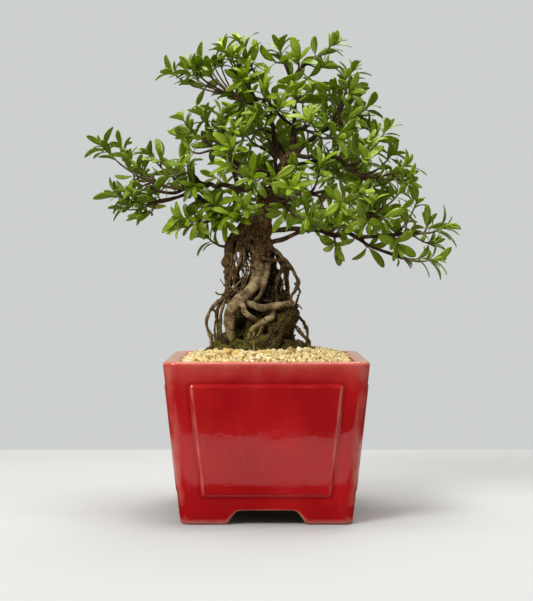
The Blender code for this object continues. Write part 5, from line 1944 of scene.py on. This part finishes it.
@dataclass
class FineRoots:
    """Thin roots that hang, cross and cling in the tangle under the trunk."""

    drops: int = 34
    clings: int = 230
    step: float = 2.5 * MM
    sides: int = 5
    wander: float = 0.28
    sag: float = 0.10
    hold: float = 0.6
    middle: Point = (-2 * MM, 0, 0)
    lowest: float = 160 * MM
    envelope: tuple[tuple[float, ...], ...] = ((160, 200, 240, 290), (48, 38, 31, 24))

    @staticmethod
    def core(z: float) -> float:
        """Radius in metres of the matted core at a height."""
        rows = sorted((height, radius) for _, _, height, radius in MAT)
        return float(np.interp(z / MM, *zip(*rows))) * MM

    def walk(self, start: Vector, heading: Vector, length: float, cling: float, rng: random.Random) -> Path:
        """Wandering path of one root.

        Args:
            start: Where it begins.
            heading: Direction at its start.
            length: Its length.
            cling: How closely it keeps to the core, from 0 to 1.
            rng: Seeded draws.

        Returns:
            Its points.
        """
        path, at, way = [start], start.copy(), heading.normalized()
        for _ in range(int(length / self.step)):
            jitter = Vector((rng.gauss(0, 1), rng.gauss(0, 1), rng.gauss(0, 0.7))) * self.wander
            way = (way + jitter - UP * self.sag).normalized()
            at = at + way * self.step
            out = Vector((at.x - self.middle[0], at.y, 0))
            reach, core = out.length, self.core(at.z)
            out.normalize()
            if reach < core + 0.5 * MM:
                at += out * (core + 0.5 * MM - reach)
            elif cling and reach > core + 2 * MM:
                at -= out * (reach - core - 2 * MM) * cling
            limit = float(np.interp(at.z / MM, *self.envelope)) * MM
            if reach > limit:
                at -= out * (reach - limit) * self.hold
                way -= out * 0.5
            path.append(at.copy())
            if at.z < self.lowest:
                break
        return path

    def dropped(self, number: int, rng: random.Random) -> tuple[Path, float, float]:
        """Path and radii of one root that hangs from the foot of the trunk.

        Args:
            number: Its number.
            rng: Seeded draws.

        Returns:
            Its path, first radius and last radius.
        """
        left = number % 6 < 5
        x = rng.uniform(-37, -10) if left else rng.uniform(6, 20)
        z = rng.uniform(258, 284) if left else rng.uniform(240, 254)
        start = seen(x, rng.uniform(-14, 14), z)
        size = rng.uniform(0.35, 0.9) * MM
        heading = Vector((rng.gauss(0, 0.3), rng.gauss(0, 0.3), -1))
        return self.walk(start, heading, rng.uniform(25, 95) * MM, 0, rng), size, size * 0.55

    def clinging(self, rng: random.Random) -> tuple[Path, float, float]:
        """Path and radii of one root that clings to the core.

        Args:
            rng: Seeded draws.

        Returns:
            Its path, first radius and last radius.
        """
        z = rng.uniform(170, 244) * MM
        angle = rng.uniform(0, math.tau)
        start = Vector((math.cos(angle), math.sin(angle), 0)) * self.core(z) + UP * z + Vector(self.middle)
        around = Vector((-math.sin(angle), math.cos(angle), 0))
        heading = around * rng.uniform(-1, 1) - UP * rng.uniform(0.1, 1.2)
        size = rng.uniform(0.4, 1.25) * MM
        return self.walk(start, heading, rng.uniform(20, 60) * MM, 0.5, rng), size, size * 0.5

    def make(self) -> Object:
        """Build all thin roots as one piece."""
        rng = seeded("fine roots")
        roots = [
            (smooth_path([seen(*point) for point in points], self.step), first * MM, last * MM)
            for first, last, points in ROOTLETS]
        roots += [self.dropped(number, rng) for number in range(self.drops)]
        roots += [self.clinging(rng) for _ in range(self.clings)]
        sheaf = Sheaf()
        for path, first, last in roots:
            if len(path) < 3:
                continue
            fine = smooth_path(path, self.step)
            bar = Bar(fine, tapered(fine, first, last), sides=self.sides if first < 1 * MM else 7, lump=0.2)
            points, faces, marks, _ = bar.rings(rng)
            reach = np.hypot(points[:, 0] - self.middle[0], points[:, 1])
            core = np.array([self.core(z) for z in points[:, 2]])
            # Painted shade: fine roots darken towards the matted core, plus a random tone of their own.
            tone = np.clip((reach - core) / (16 * MM), 0, 1) * 0.6 + rng.uniform(-0.05, 0.35)
            sheaf.add(points, faces, tone=tone, along=marks["along"])
        return settle(sheaf.build("fine_roots", [FineRoot().material()]), "bark", "tree")


@dataclass
class Moss:
    """Tufts of dry moss and crumbs of loam on the low roots and the matted core."""

    tufts: int = 2900
    blades: int = 4
    length: Pair = (1.0 * MM, 2.6 * MM)
    width: float = 0.55 * MM
    heights: Pair = (156 * MM, 232 * MM)
    mossy_least: float = 0.25
    crumbs: int = 1900
    crumbs_within: float = 42 * MM
    crumb: Pair = (0.5, 1.3)
    points: list[Vector] = field(default_factory=list)
    faces: list[tuple[int, ...]] = field(default_factory=list)
    tones: list[float] = field(default_factory=list)
    alongs: list[float] = field(default_factory=list)

    def tuft(self, at: Vector, normal: Vector, tone: float, rng: random.Random) -> None:
        """Add one tuft.

        Args:
            at: Place of its root.
            normal: Direction away from the ground.
            tone: Its tone, from brown to green.
            rng: Seeded draws.
        """
        for _ in range(self.blades):
            lean = Vector((rng.gauss(0, 0.6), rng.gauss(0, 0.6), rng.gauss(0.3, 0.5)))
            way = (normal + lean).normalized()
            side = way.orthogonal().normalized()
            other = way.cross(side)
            root = at + scatter(rng, 0.7) * MM - normal * 0.4 * MM
            start = len(self.points)
            for m in range(3):
                angle = math.tau * m / 3
                out = (side * math.cos(angle) + other * math.sin(angle)) * self.width
                self.points.append(root + out * rng.uniform(0.35, 0.6))
            self.points.append(root + way * rng.uniform(*self.length))
            self.faces.append((start, start + 2, start + 1))
            self.faces += [(start + m, start + (m + 1) % 3, start + 3) for m in range(3)]
            self.tones += [tone] * 4
            self.alongs += [0, 0, 0, 1]

    def crumb_on(self, at: Vector, normal: Vector, rng: random.Random) -> None:
        """Add one crumb of loam on the ground at a place.

        Args:
            at: The place.
            normal: Direction away from the ground.
            rng: Seeded draws.
        """
        turn = Matrix.Rotation(rng.uniform(0, math.tau), 3, scatter(rng))
        start, size = len(self.points), rng.uniform(*self.crumb) * MM
        tone = held(rng.gauss(0.18, 0.12), 0.0, 0.40)
        for corner in ((1, 0, 0), (-1, 0, 0), (0, 1, 0), (0, -1, 0), (0, 0, 1), (0, 0, -1)):
            out = turn @ Vector(corner) * size * rng.uniform(0.6, 1.1)
            self.points.append(at + normal * 0.4 * size + out)
        for a, b in ((0, 2), (2, 1), (1, 3), (3, 0)):
            self.faces += [(start + a, start + b, start + 4), (start + b, start + a, start + 5)]
        self.tones += [tone] * 6
        self.alongs += [0.9] * 6

    def make(self, grounds: list[Object]) -> Object:
        """Build the tufts and the crumbs on the surface of the core and the roots.

        Args:
            grounds: The pieces that they lie on.

        Returns:
            The piece.
        """
        rng = seeded("moss")
        low, high = self.heights
        spots = [
            (vertex.co, vertex.normal)
            for mesh in (ground.data for ground in grounds)
            for vertex, mossy in zip(mesh.vertices, mesh.attributes["mossy"].data)
            if mossy.value > self.mossy_least and low < vertex.co.z < high]
        grown = tries = 0
        while grown < self.tufts and tries < self.tufts * 40:
            tries += 1
            at, normal = rng.choice(spots)
            patch = noise.noise(at / (7 * MM))
            right = held((at.x + 12 * MM) / (24 * MM))
            if patch + (196 * MM - at.z) / (60 * MM) - 0.25 * right >= rng.uniform(-0.1, 0.5):
                self.tuft(at, normal, held(0.56 - 0.22 * right + 1.3 * patch + rng.gauss(0, 0.18)), rng)
                grown += 1
        spots = [spot for spot in spots if math.hypot(spot[0].x, spot[0].y) < self.crumbs_within]
        for _ in range(self.crumbs):
            self.crumb_on(*rng.choice(spots), rng)
        sheaf = Sheaf()
        marks = {"tone": np.array(self.tones), "along": np.array(self.alongs)}
        sheaf.add(np.array(self.points), [np.array(self.faces)], **marks)
        return settle(sheaf.build("moss", [MossGreen().material()]), "bark", "tree")


@dataclass
class LeafForm:
    """Fine form of a leaf: petiole, blade widest past its middle, fold along the midrib, drooping tip."""

    rows: tuple[float, ...] = (0.0, 0.07, 0.17, 0.32, 0.48, 0.64, 0.80, 0.93)
    widths: tuple[float, ...] = (0.09, 0.12, 0.38, 0.73, 0.96, 1.0, 0.86, 0.52)
    columns: tuple[float, ...] = (-1.0, -0.5, 0.0, 0.5, 1.0)
    thick: float = 0.3 * MM
    keel: tuple[float, ...] = (1.0, 1.9, 1.0)
    arch: float = 0.1
    margin: float = 0.5 * MM
    droop: Pair = (-0.02, 0.16)
    fold: Pair = (0.05, 0.42)
    curl: Pair = (-0.05, 0.25)
    bend: float = 0.05
    wave: Pair = (0.0, 0.10)
    broad: Pair = (0.80, 1.22)

    def faces(self) -> tuple[list[np.ndarray], list[np.ndarray]]:
        """Faces of the upper and of the lower side of one leaf, by size."""
        rows, columns = len(self.rows), len(self.columns)
        tip = rows * columns
        top = np.arange(tip).reshape(rows, columns)
        under = top.copy()
        under[:, 1:-1] = tip + 1 + np.arange(rows * (columns - 2)).reshape(rows, columns - 2)
        ends = np.array([(top[-1, c], top[-1, c + 1], tip) for c in range(columns - 1)])
        low_ends = np.array([(under[-1, c], tip, under[-1, c + 1]) for c in range(columns - 1)])
        cap = np.array([[*top[0][::-1], *under[0, 1:-1]]])
        return [quads(top), ends], [np.roll(quads(under)[:, ::-1], 1, axis=1), low_ends, cap]

    def points(self, leaf: Leaf, rng: random.Random) -> np.ndarray:
        """Points of one leaf, with a droop, a fold and waves of its own.

        Args:
            leaf: Base, heading, face, length and width.
            rng: Seeded draws.

        Returns:
            The upper side row by row, the tip, and the inner points of the lower side.
        """
        base, along, face, length, width = leaf
        side = along.cross(face).normalized()
        up = side.cross(along).normalized()
        t, w, u = map(np.array, (self.rows, self.widths, self.columns))
        droop, fold, curl = (rng.uniform(*limits) for limits in (self.droop, self.fold, self.curl))
        bend, wave, phase = rng.gauss(0, self.bend), rng.uniform(*self.wave), rng.random()
        half = width * rng.uniform(*self.broad) * w / 2
        rise = length * (self.arch * np.sin(np.pi * t) - droop * t ** 2)
        drift = length * bend * t ** 2
        reach = np.outer(half, u)
        lift = np.outer(half, np.abs(u)) * fold - np.outer(half, u ** 2) * curl
        lift += np.outer(half * np.sin(math.tau * (1.6 * t + phase)) * wave, np.abs(u) * np.sign(u + 0.2))
        grid = (
            np.array(base) + (t * length)[:, None, None] * np.array(along)
            + (reach + drift[:, None])[..., None] * np.array(side) * math.cos(fold)
            + (rise[:, None] + lift)[..., None] * np.array(up))
        tip = np.array(base + along * length + up * (-droop * length) + side * bend * length)
        depth = self.thick * np.array(self.keel)[None, :, None] * np.minimum(1.0, 0.5 + w)[:, None, None]
        low = grid[:, 1:-1] - depth * np.array(up)
        return np.concatenate([grid.reshape(-1, 3), tip[None, :], low.reshape(-1, 3)])

    def add(self, sheaf: Sheaf, leaves: Toned, rng: random.Random) -> None:
        """Add leaves to a piece.

        Args:
            sheaf: Meshes of the piece.
            leaves: Each leaf with its tone, from old to fresh.
            rng: Seeded draws for the shape of each.
        """
        t, u = self.rows, self.columns
        upper, lower = self.faces()
        low, high = np.array(CAD_BOX[0]) + self.margin, np.array(CAD_BOX[1]) - self.margin
        across = np.concatenate([np.tile(u, len(t)), [0.0], np.tile(u[1:-1], len(t))])
        run = np.concatenate([np.repeat(t, len(u)), [1.0], np.repeat(t, len(u) - 2)])
        for leaf, tone in leaves:
            start = sheaf.count
            points = np.clip(self.points(leaf, rng), low, high)
            sheaf.add(points, upper, 0, across=across, along=run, tone=tone)
            sheaf.cover(lower, 1, start)


@dataclass
class Spray:
    """Leafy shoots of one piece: stems, leaves with their tones, and the node that they stand for."""

    name: str
    stems: list[Stem]
    leaves: Toned = field(default_factory=list)
    nodes: tuple[str, ...] = ()
    shoot: Path = field(default_factory=list)


@dataclass
class Crown:
    """All leafy shoots: those of the solids with more leaves, and further ones between them."""

    wood: Wood
    growth: Growth
    later: Whorl = Whorl((58, 78), 6.5, 0.0, (0.8, 1.25), (0.8, 1.15))
    tries: tuple[Pair, ...] = ((0, 1), (20, 1), (-20, 0.95), (40, 0.85), (0, 0.7))
    full_tip: int = 8
    full_side: int = 7
    fill_leaves: int = 7
    fill_least: int = 4
    fill_stem: Pair = (1.05 * MM, 0.75 * MM)
    fill_apart: Pair = (9 * MM, 62 * MM)
    fill_above: float = 330 * MM
    leaf_every: float = 7.2 * MM
    down_from: float = 8 * MM
    down_to: float = 0.85
    down_angle: Pair = (42, 72)
    down_lengths: Pair = (0.62, 1.12)
    down_widths: Pair = (0.85, 1.15)
    whorl_room: float = 15 * MM
    first_tone: Pair = (0.32, 0.04)
    later_tone: Pair = (0.34, 0.05)
    down_tone: float = 0.30
    inset: float = 1.5 * MM
    crowd: Crowd = field(default_factory=Crowd)
    sprays: list[Spray] = field(default_factory=list)

    def lay_stems(self) -> None:
        """Twigs and stems as the solids have them."""
        g = self.growth
        for route in self.wood.routes.values():
            self.crowd.add("tree", tube(*route))
        for region, rows in SPRAYS.items():
            for number, (limb, *tips) in enumerate(rows, 1):
                name = f"spray_{region}_{number}"
                path, radii, _ = self.wood.routes[limb]
                shoot = g.shoot_path(path, seen(*tips[0]))
                whole = length_of(shoot)
                cut = max(g.woody_share * whole, radii[-1] + g.woody_least)
                twig = part_of(shoot, 0, cut, 2)
                self.wood.twigs.append((twig, tapered(twig, g.stem_radius * g.twig_foot, g.stem_radius), 4))
                stem = part_of(shoot, cut + GAP, whole, 2)
                stems = [(stem, tapered(stem, g.stem_radius, g.stem_tip), 4)]
                for tip in tips[1:]:
                    fork = g.shoot_path(stem, seen(*tip))
                    side = part_of(fork, 0, length_of(fork), 2)
                    stems.append((side, tapered(side, g.stem_radius * g.side_stem, g.stem_tip), 4))
                self.sprays.append(Spray(name, stems, nodes=(name,), shoot=shoot))
        for twig in self.wood.twigs:
            self.crowd.add("tree", tube(*twig))
        for spray in self.sprays:
            for stem in spray.stems:
                self.crowd.add(spray.name, tube(*stem))

    def first_leaves(self) -> None:
        """The leaves that the solids carry."""
        g = self.growth
        for spray in self.sprays:
            rng = seeded(spray.name)
            shade = seeded(f"shade {spray.name}")
            own = Crowd()
            for order, (stem, *_) in enumerate(spray.stems):
                axis = (stem[-1] - stem[-2]).normalized()
                mood = shade.uniform(-0.12, 0.2)
                numbers = range(g.at_side if order else g.at_tip)
                start = math.radians(rng.uniform(-25, 25))
                for k, leaf in g.leaves_round(stem, numbers, g.first, start, 1.0, rng):
                    clear = g.fitted(leaf, axis, spray.name, self.crowd, own)
                    if clear:
                        self.crowd.add(spray.name, g.blade(clear))
                        own.add("blade", g.blade(clear, 0, False))
                        tone, step = self.first_tone
                        spray.leaves.append((clear, tone + step * k + mood + shade.gauss(0, 0.06)))

    def inside_box(self, leaf: Leaf) -> bool:
        """Whether a leaf stays within the solids' box.

        Args:
            leaf: The leaf.

        Returns:
            True when it does.
        """
        base, along, _, length, _ = leaf
        tip = base + along * length * 1.02
        spans = zip(CAD_BOX[0], tip, CAD_BOX[1])
        return all(low + self.inset < at < high - self.inset for low, at, high in spans)

    @staticmethod
    def in_the_open(leaf: Leaf) -> bool:
        """Whether a leaf lies in one of the clearings of the crown, seen from the front.

        Args:
            leaf: The leaf.

        Returns:
            True when it does.
        """
        base, along, _, length, _ = leaf
        for share in (0.4, 0.7, 1.0):
            x, y, z = (base + along * length * share) / MM
            near = EYE_DISTANCE / (EYE_DISTANCE + y)
            x, z = x * near, EYE_HEIGHT + (z - EYE_HEIGHT) * near
            if any(math.hypot(x - cx, z - cz) < size for cx, cz, size in CLEARINGS):
                return True
        return False

    def single_leaf(self, name: str, axis: Vector, leaf: Leaf) -> Leaf | None:
        """A leaf turned round its shoot or shortened until it is clear of everything.

        Args:
            name: Its piece.
            axis: Direction of its shoot.
            leaf: The leaf as it would grow.

        Returns:
            The leaf as it fits, or None.
        """
        for trial in turned(leaf, axis, self.tries):
            shape = self.growth.blade(trial, 0, False)
            if self.inside_box(trial) and not self.in_the_open(trial) and self.crowd.is_free(shape):
                self.crowd.add(name, shape)
                return trial
        return None

    def leaves_down(self, shoot: Path, name: str, mood: float, rng: random.Random) -> Toned:
        """Older leaves, one by one down a shoot from its whorl.

        Args:
            shoot: Path of the shoot with its woody foot.
            name: Its piece.
            mood: How fresh its green is.
            rng: Seeded draws.

        Returns:
            The leaves that found room, each with its tone.
        """
        g = self.growth
        tall, down, turn, found = length_of(shoot), self.down_from, rng.uniform(0, math.tau), []
        while down < self.down_to * tall:
            base, axis = at_length(shoot, tall - down)
            out = Matrix.Rotation(turn, 3, axis) @ axis.orthogonal().normalized()
            angle = math.radians(rng.uniform(*self.down_angle))
            heading = (axis * math.cos(angle) + out * math.sin(angle) + UP * 0.1).normalized()
            face = (axis * math.sin(angle) - out * math.cos(angle) + UP * rng.uniform(0, 0.7)).normalized()
            length = g.leaf_length * rng.uniform(*self.down_lengths)
            width = length * g.slender * rng.uniform(*self.down_widths)
            leaf = self.single_leaf(name, axis, (base, heading, face, length, width))
            if leaf:
                found.append((leaf, self.down_tone + mood + rng.gauss(0, 0.10)))
            turn += TURN
            down += self.leaf_every * rng.uniform(0.75, 1.35)
        return found

    def more_leaves(self, stem: Path, name: str, numbers: range, size: float, mood: float,
                    rng: random.Random) -> Toned:
        """Younger leaves inside a whorl.

        Args:
            stem: Path of the shoot.
            name: Its piece.
            numbers: Numbers of the leaves in the whorl.
            size: Share of the full leaf length.
            mood: How fresh its green is.
            rng: Seeded draws.

        Returns:
            The leaves that found room, each with its tone.
        """
        axis, start, found = (stem[-1] - stem[-2]).normalized(), rng.uniform(0, math.tau), []
        tone, step = self.later_tone
        for k, leaf in self.growth.leaves_round(stem, numbers, self.later, start, size, rng):
            clear = self.single_leaf(name, axis, leaf)
            if clear:
                found.append((clear, tone + step * k + mood + rng.gauss(0, 0.08)))
        return found

    def thicken(self) -> None:
        """Fill up the whorls that the solids have."""
        for spray in self.sprays:
            rng = seeded(f"more {spray.name}")
            for order, (stem, *_) in enumerate(spray.stems):
                numbers = range(self.growth.at_tip, self.full_tip)
                if order:
                    numbers = range(self.growth.at_side, self.full_side)
                mood = rng.uniform(-0.15, 0.25)
                spray.leaves += self.more_leaves(stem, spray.name, numbers, 1.0, mood, rng)
                spray.leaves += self.leaves_down(stem if order else spray.shoot, spray.name, mood, rng)

    def shoot_at(self, spray: Spray, middle: Vector, carriers: list[Path], rng: random.Random) -> bool:
        """Grow one further shoot, if it finds room.

        Args:
            spray: The spray that it joins.
            middle: Middle of its whorl.
            carriers: Paths of the limbs and twigs that may carry it.
            rng: Seeded draws.

        Returns:
            Whether it grew.
        """
        apart, foot, number = min(
            ((point - middle).length, k, n)
            for n, path in enumerate(carriers) for k, point in enumerate(path))
        near, far = self.fill_apart
        rising = (middle.z - carriers[number][foot].z) / apart
        if not near < apart < far or rising < rng.uniform(-1.1, 0.75):
            return False
        shoot = self.growth.shoot_path(carriers[number], middle)
        radii = tapered(shoot, *self.fill_stem)
        if not self.crowd.is_free(tube(shoot[5:], radii[5:], 4), "tree"):
            return False
        mood = rng.uniform(-0.22, 0.28)
        numbers = range(self.fill_leaves + rng.randrange(-1, 2))
        leaves = self.more_leaves(shoot, spray.name, numbers, 0.95, mood, rng)
        if len(leaves) < self.fill_least:
            return False
        self.crowd.add("tree", tube(shoot, radii, 4))
        spray.stems.append((shoot[4:], radii[4:], 4))
        self.wood.twigs.append((shoot[:5], radii[:5], 4))
        spray.leaves += leaves + self.leaves_down(shoot, spray.name, mood, rng)
        return True

    def fill(self) -> None:
        """Further shoots between the others, with their twigs."""
        rng = seeded("fill")
        carriers = [path for name, (path, _, _) in self.wood.routes.items() if name in LIMBS]
        carriers.append([point for point in self.wood.routes["trunk"][0] if point.z > self.fill_above])
        carriers += [twig[0] for twig in self.wood.twigs]
        centres = [stem[0][-1] for spray in self.sprays for stem in spray.stems]
        drawn = [(x, z, y, 3, 3, 8, 1) for x, y, z in WHORLS]
        for number, rows in enumerate([drawn, *([row] for row in MASSES)], 1):
            spray = Spray(f"shoots_{number}", [])
            room = self.whorl_room * (0.5 if rows is drawn else 1)
            for x, z, y, rx, rz, ry, count in rows:
                left, tries = count, 60 * count
                while left and tries:
                    tries -= 1
                    spot = scatter(rng).normalized() * rng.random() ** 0.4
                    middle = seen(x + spot.x * rx, y + spot.y * ry, z + spot.z * rz)
                    alone = all((middle - other).length > room for other in centres)
                    if alone and self.shoot_at(spray, middle, carriers, rng):
                        centres.append(middle)
                        left -= 1
            LOG.info("%s: %d of %d shoots", spray.name, len(spray.stems), sum(row[6] for row in rows))
            if spray.leaves:
                self.sprays.append(spray)

    def make(self) -> None:
        """Build every leafy piece."""
        finishes = [LeafGreen(side).material() for side in LeafSide] + [ShootSkin().material()]
        form = LeafForm()
        for spray in self.sprays:
            rng = seeded(f"form {spray.name}")
            sheaf = Sheaf()
            form.add(sheaf, spray.leaves, rng)
            for path, radii, _ in spray.stems:
                fine = smooth_path(path, 2 * MM)
                shares = np.arange(len(fine)) / (len(fine) - 1)
                sizes = np.interp(shares, np.linspace(0, 1, len(radii)), radii).tolist()
                points, faces, marks, _ = Bar(fine, sizes, sides=6, lump=0.1).rings(rng)
                sheaf.add(points, faces, 2, along=marks["along"])
            settle(sheaf.build(f"leaves_{spray.name}", finishes), "leaf_green", *spray.nodes)


@dataclass
class Studio:
    """Pale floor and backdrop, soft lights, and the camera."""

    camera_at: Point = (0.0, -1.45, 0.244)
    pitch: float = 1.13
    lens: float = 84.9
    sensor: float = 36.0
    table: Point = (0.6, -0.9, 0.5)
    paper_grey: Colour = (0.49, 0.495, 0.50)
    card_grey: Colour = (0.02, 0.02, 0.02)
    cards: tuple[tuple[str, float, float], ...] = (
        ("dark_card_far", 0.36, 6.0), ("dark_card_near", 0.095, 0.195))
    lamps: tuple[tuple[str, Point, float, float], ...] = (
        ("key", (-1.0, -1.3, 1.8), 0.8, 42), ("top", (0.1, 0.0, 2.1), 0.9, 35),
        ("fill", (1.6, -1.3, 1.2), 1.6, 6), ("rear", (0.5, 1.1, 1.7), 1.0, 11))
    lamps_aim: Point = (0, 0, 0.3)
    sky_light: Colour = (0.88, 0.84, 0.64)
    sky_front: float = 0.14
    sky_rear: float = 0.62
    backdrop: Colour = (0.61, 0.63, 0.62)

    @staticmethod
    def sheet(name: str, points: list[Point], faces: list[tuple[int, ...]], finish: Material) -> Object:
        """Flat sheet of the set.

        Args:
            name: Its name.
            points: Its corners.
            faces: Its faces.
            finish: Its finish.

        Returns:
            The sheet.
        """
        mesh = bpy.data.meshes.new(name)
        mesh.from_pydata(points, [], faces)
        mesh.materials.append(finish)
        mesh.shade_smooth()
        item = link(name, mesh)
        return item

    def card(self, name: str, inner: float, outer: float, finish: Material) -> None:
        """Dark square ring on the floor that only reflections show, as a flag gives a glaze its dark areas.

        Args:
            name: Its name.
            inner: Half its inner width.
            outer: Half its outer width.
            finish: Its finish.
        """
        square = ((-1, -1), (1, -1), (1, 1), (-1, 1))
        points = [(x * half, y * half, 1 * MM) for half in (inner, outer) for x, y in square]
        faces = [(k, 4 + k, 4 + (k + 1) % 4, (k + 1) % 4) for k in range(4)]
        item = self.sheet(name, points, faces, finish)
        item.visible_camera = item.visible_diffuse = item.visible_shadow = False
        item.visible_transmission = item.visible_volume_scatter = False

    def lamp(self, name: str, at: Point, size: float, power: float) -> None:
        """Soft square lamp that looks at the crown.

        Args:
            name: Its name.
            at: Its place.
            size: Its width.
            power: Its power in watts.
        """
        data = bpy.data.lights.new(name, "AREA")
        data.shape, data.size, data.energy = "SQUARE", size, power
        item = link(name, data)
        item.location = at
        item.rotation_mode = "QUATERNION"
        item.rotation_quaternion = (Vector(self.lamps_aim) - Vector(at)).to_track_quat("-Z", "Y")

    def sky(self) -> bpy.types.World:
        """Plain grey backdrop all round, which lights the plant mostly from behind."""
        g = Graph(bpy.data.worlds.new("sky"))
        depth = g.spot("Generated")[1]
        power = g.node("MapRange", i0=depth, i1=-0.1, i2=0.5, i3=self.sky_front, i4=self.sky_rear).outputs[0]
        light = g.put(g.tree.nodes["Background"], i0=(*self.sky_light, 1), i1=power).outputs[0]
        shown = g.node("Background", i0=(*self.backdrop, 1)).outputs[0]
        direct = g.node("LightPath").outputs["Is Camera Ray"]
        g.put(g.tree.nodes["World Output"], i0=g.node("MixShader", i0=direct, i1=light, i2=shown).outputs[0])
        return g.owner

    def make(self) -> None:
        """Build the set, the lamps, the sky and the camera."""
        wide, front, back = self.table
        corners = [(-wide, front, 0), (wide, front, 0), (wide, back, 0), (-wide, back, 0)]
        self.sheet("floor", corners, [(0, 1, 2, 3)], StudioPaper("floor_paper", self.paper_grey).material())
        shade = StudioPaper("dark_card", self.card_grey).material()
        for card in self.cards:
            self.card(*card, shade)
        for lamp in self.lamps:
            self.lamp(*lamp)
        data = bpy.data.cameras.new("camera")
        data.sensor_fit, data.sensor_width, data.sensor_height = "AUTO", self.sensor, self.sensor
        data.lens = self.lens
        camera = link("camera", data)
        camera.location = self.camera_at
        camera.rotation_euler = (math.radians(90 - self.pitch), 0, 0)
        scene = bpy.context.scene
        scene.world, scene.camera = self.sky(), camera
        scene.view_settings.view_transform = "Standard"


def main() -> None:
    """Build the pot, the soil, the tree and the set, in order."""
    logging.basicConfig(level=logging.INFO, format="%(message)s")
    wood = Wood()
    wood.lay_routes()
    crown = Crown(wood, Growth())
    crown.lay_stems()
    crown.first_leaves()
    crown.thicken()
    crown.fill()
    pot = Pot()
    pot.make()
    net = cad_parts["drain_mesh"]
    for holder in net.material_slots:
        holder.material = BlackNet().material()
    bark = Bark().material()
    trunk = wood.fused("trunk_and_roots", wood.stout_bars(), wood.voxel, bark)
    core = wood.fused("matted_core", wood.core_bars(), wood.core_voxel, bark)
    wood.limbs(TwigBark().material())
    FineRoots().make()
    Moss().make([trunk, core])
    crown.make()
    soil = Soil(pot)
    pumice = Pumice().material()
    soil.bed(pumice)
    graph = bpy.context.evaluated_depsgraph_get()
    soil.grains([BVHTree.FromObject(item, graph) for item in (trunk, core)], pumice)
    Studio().make()


if __name__ == "__main__":
    main()
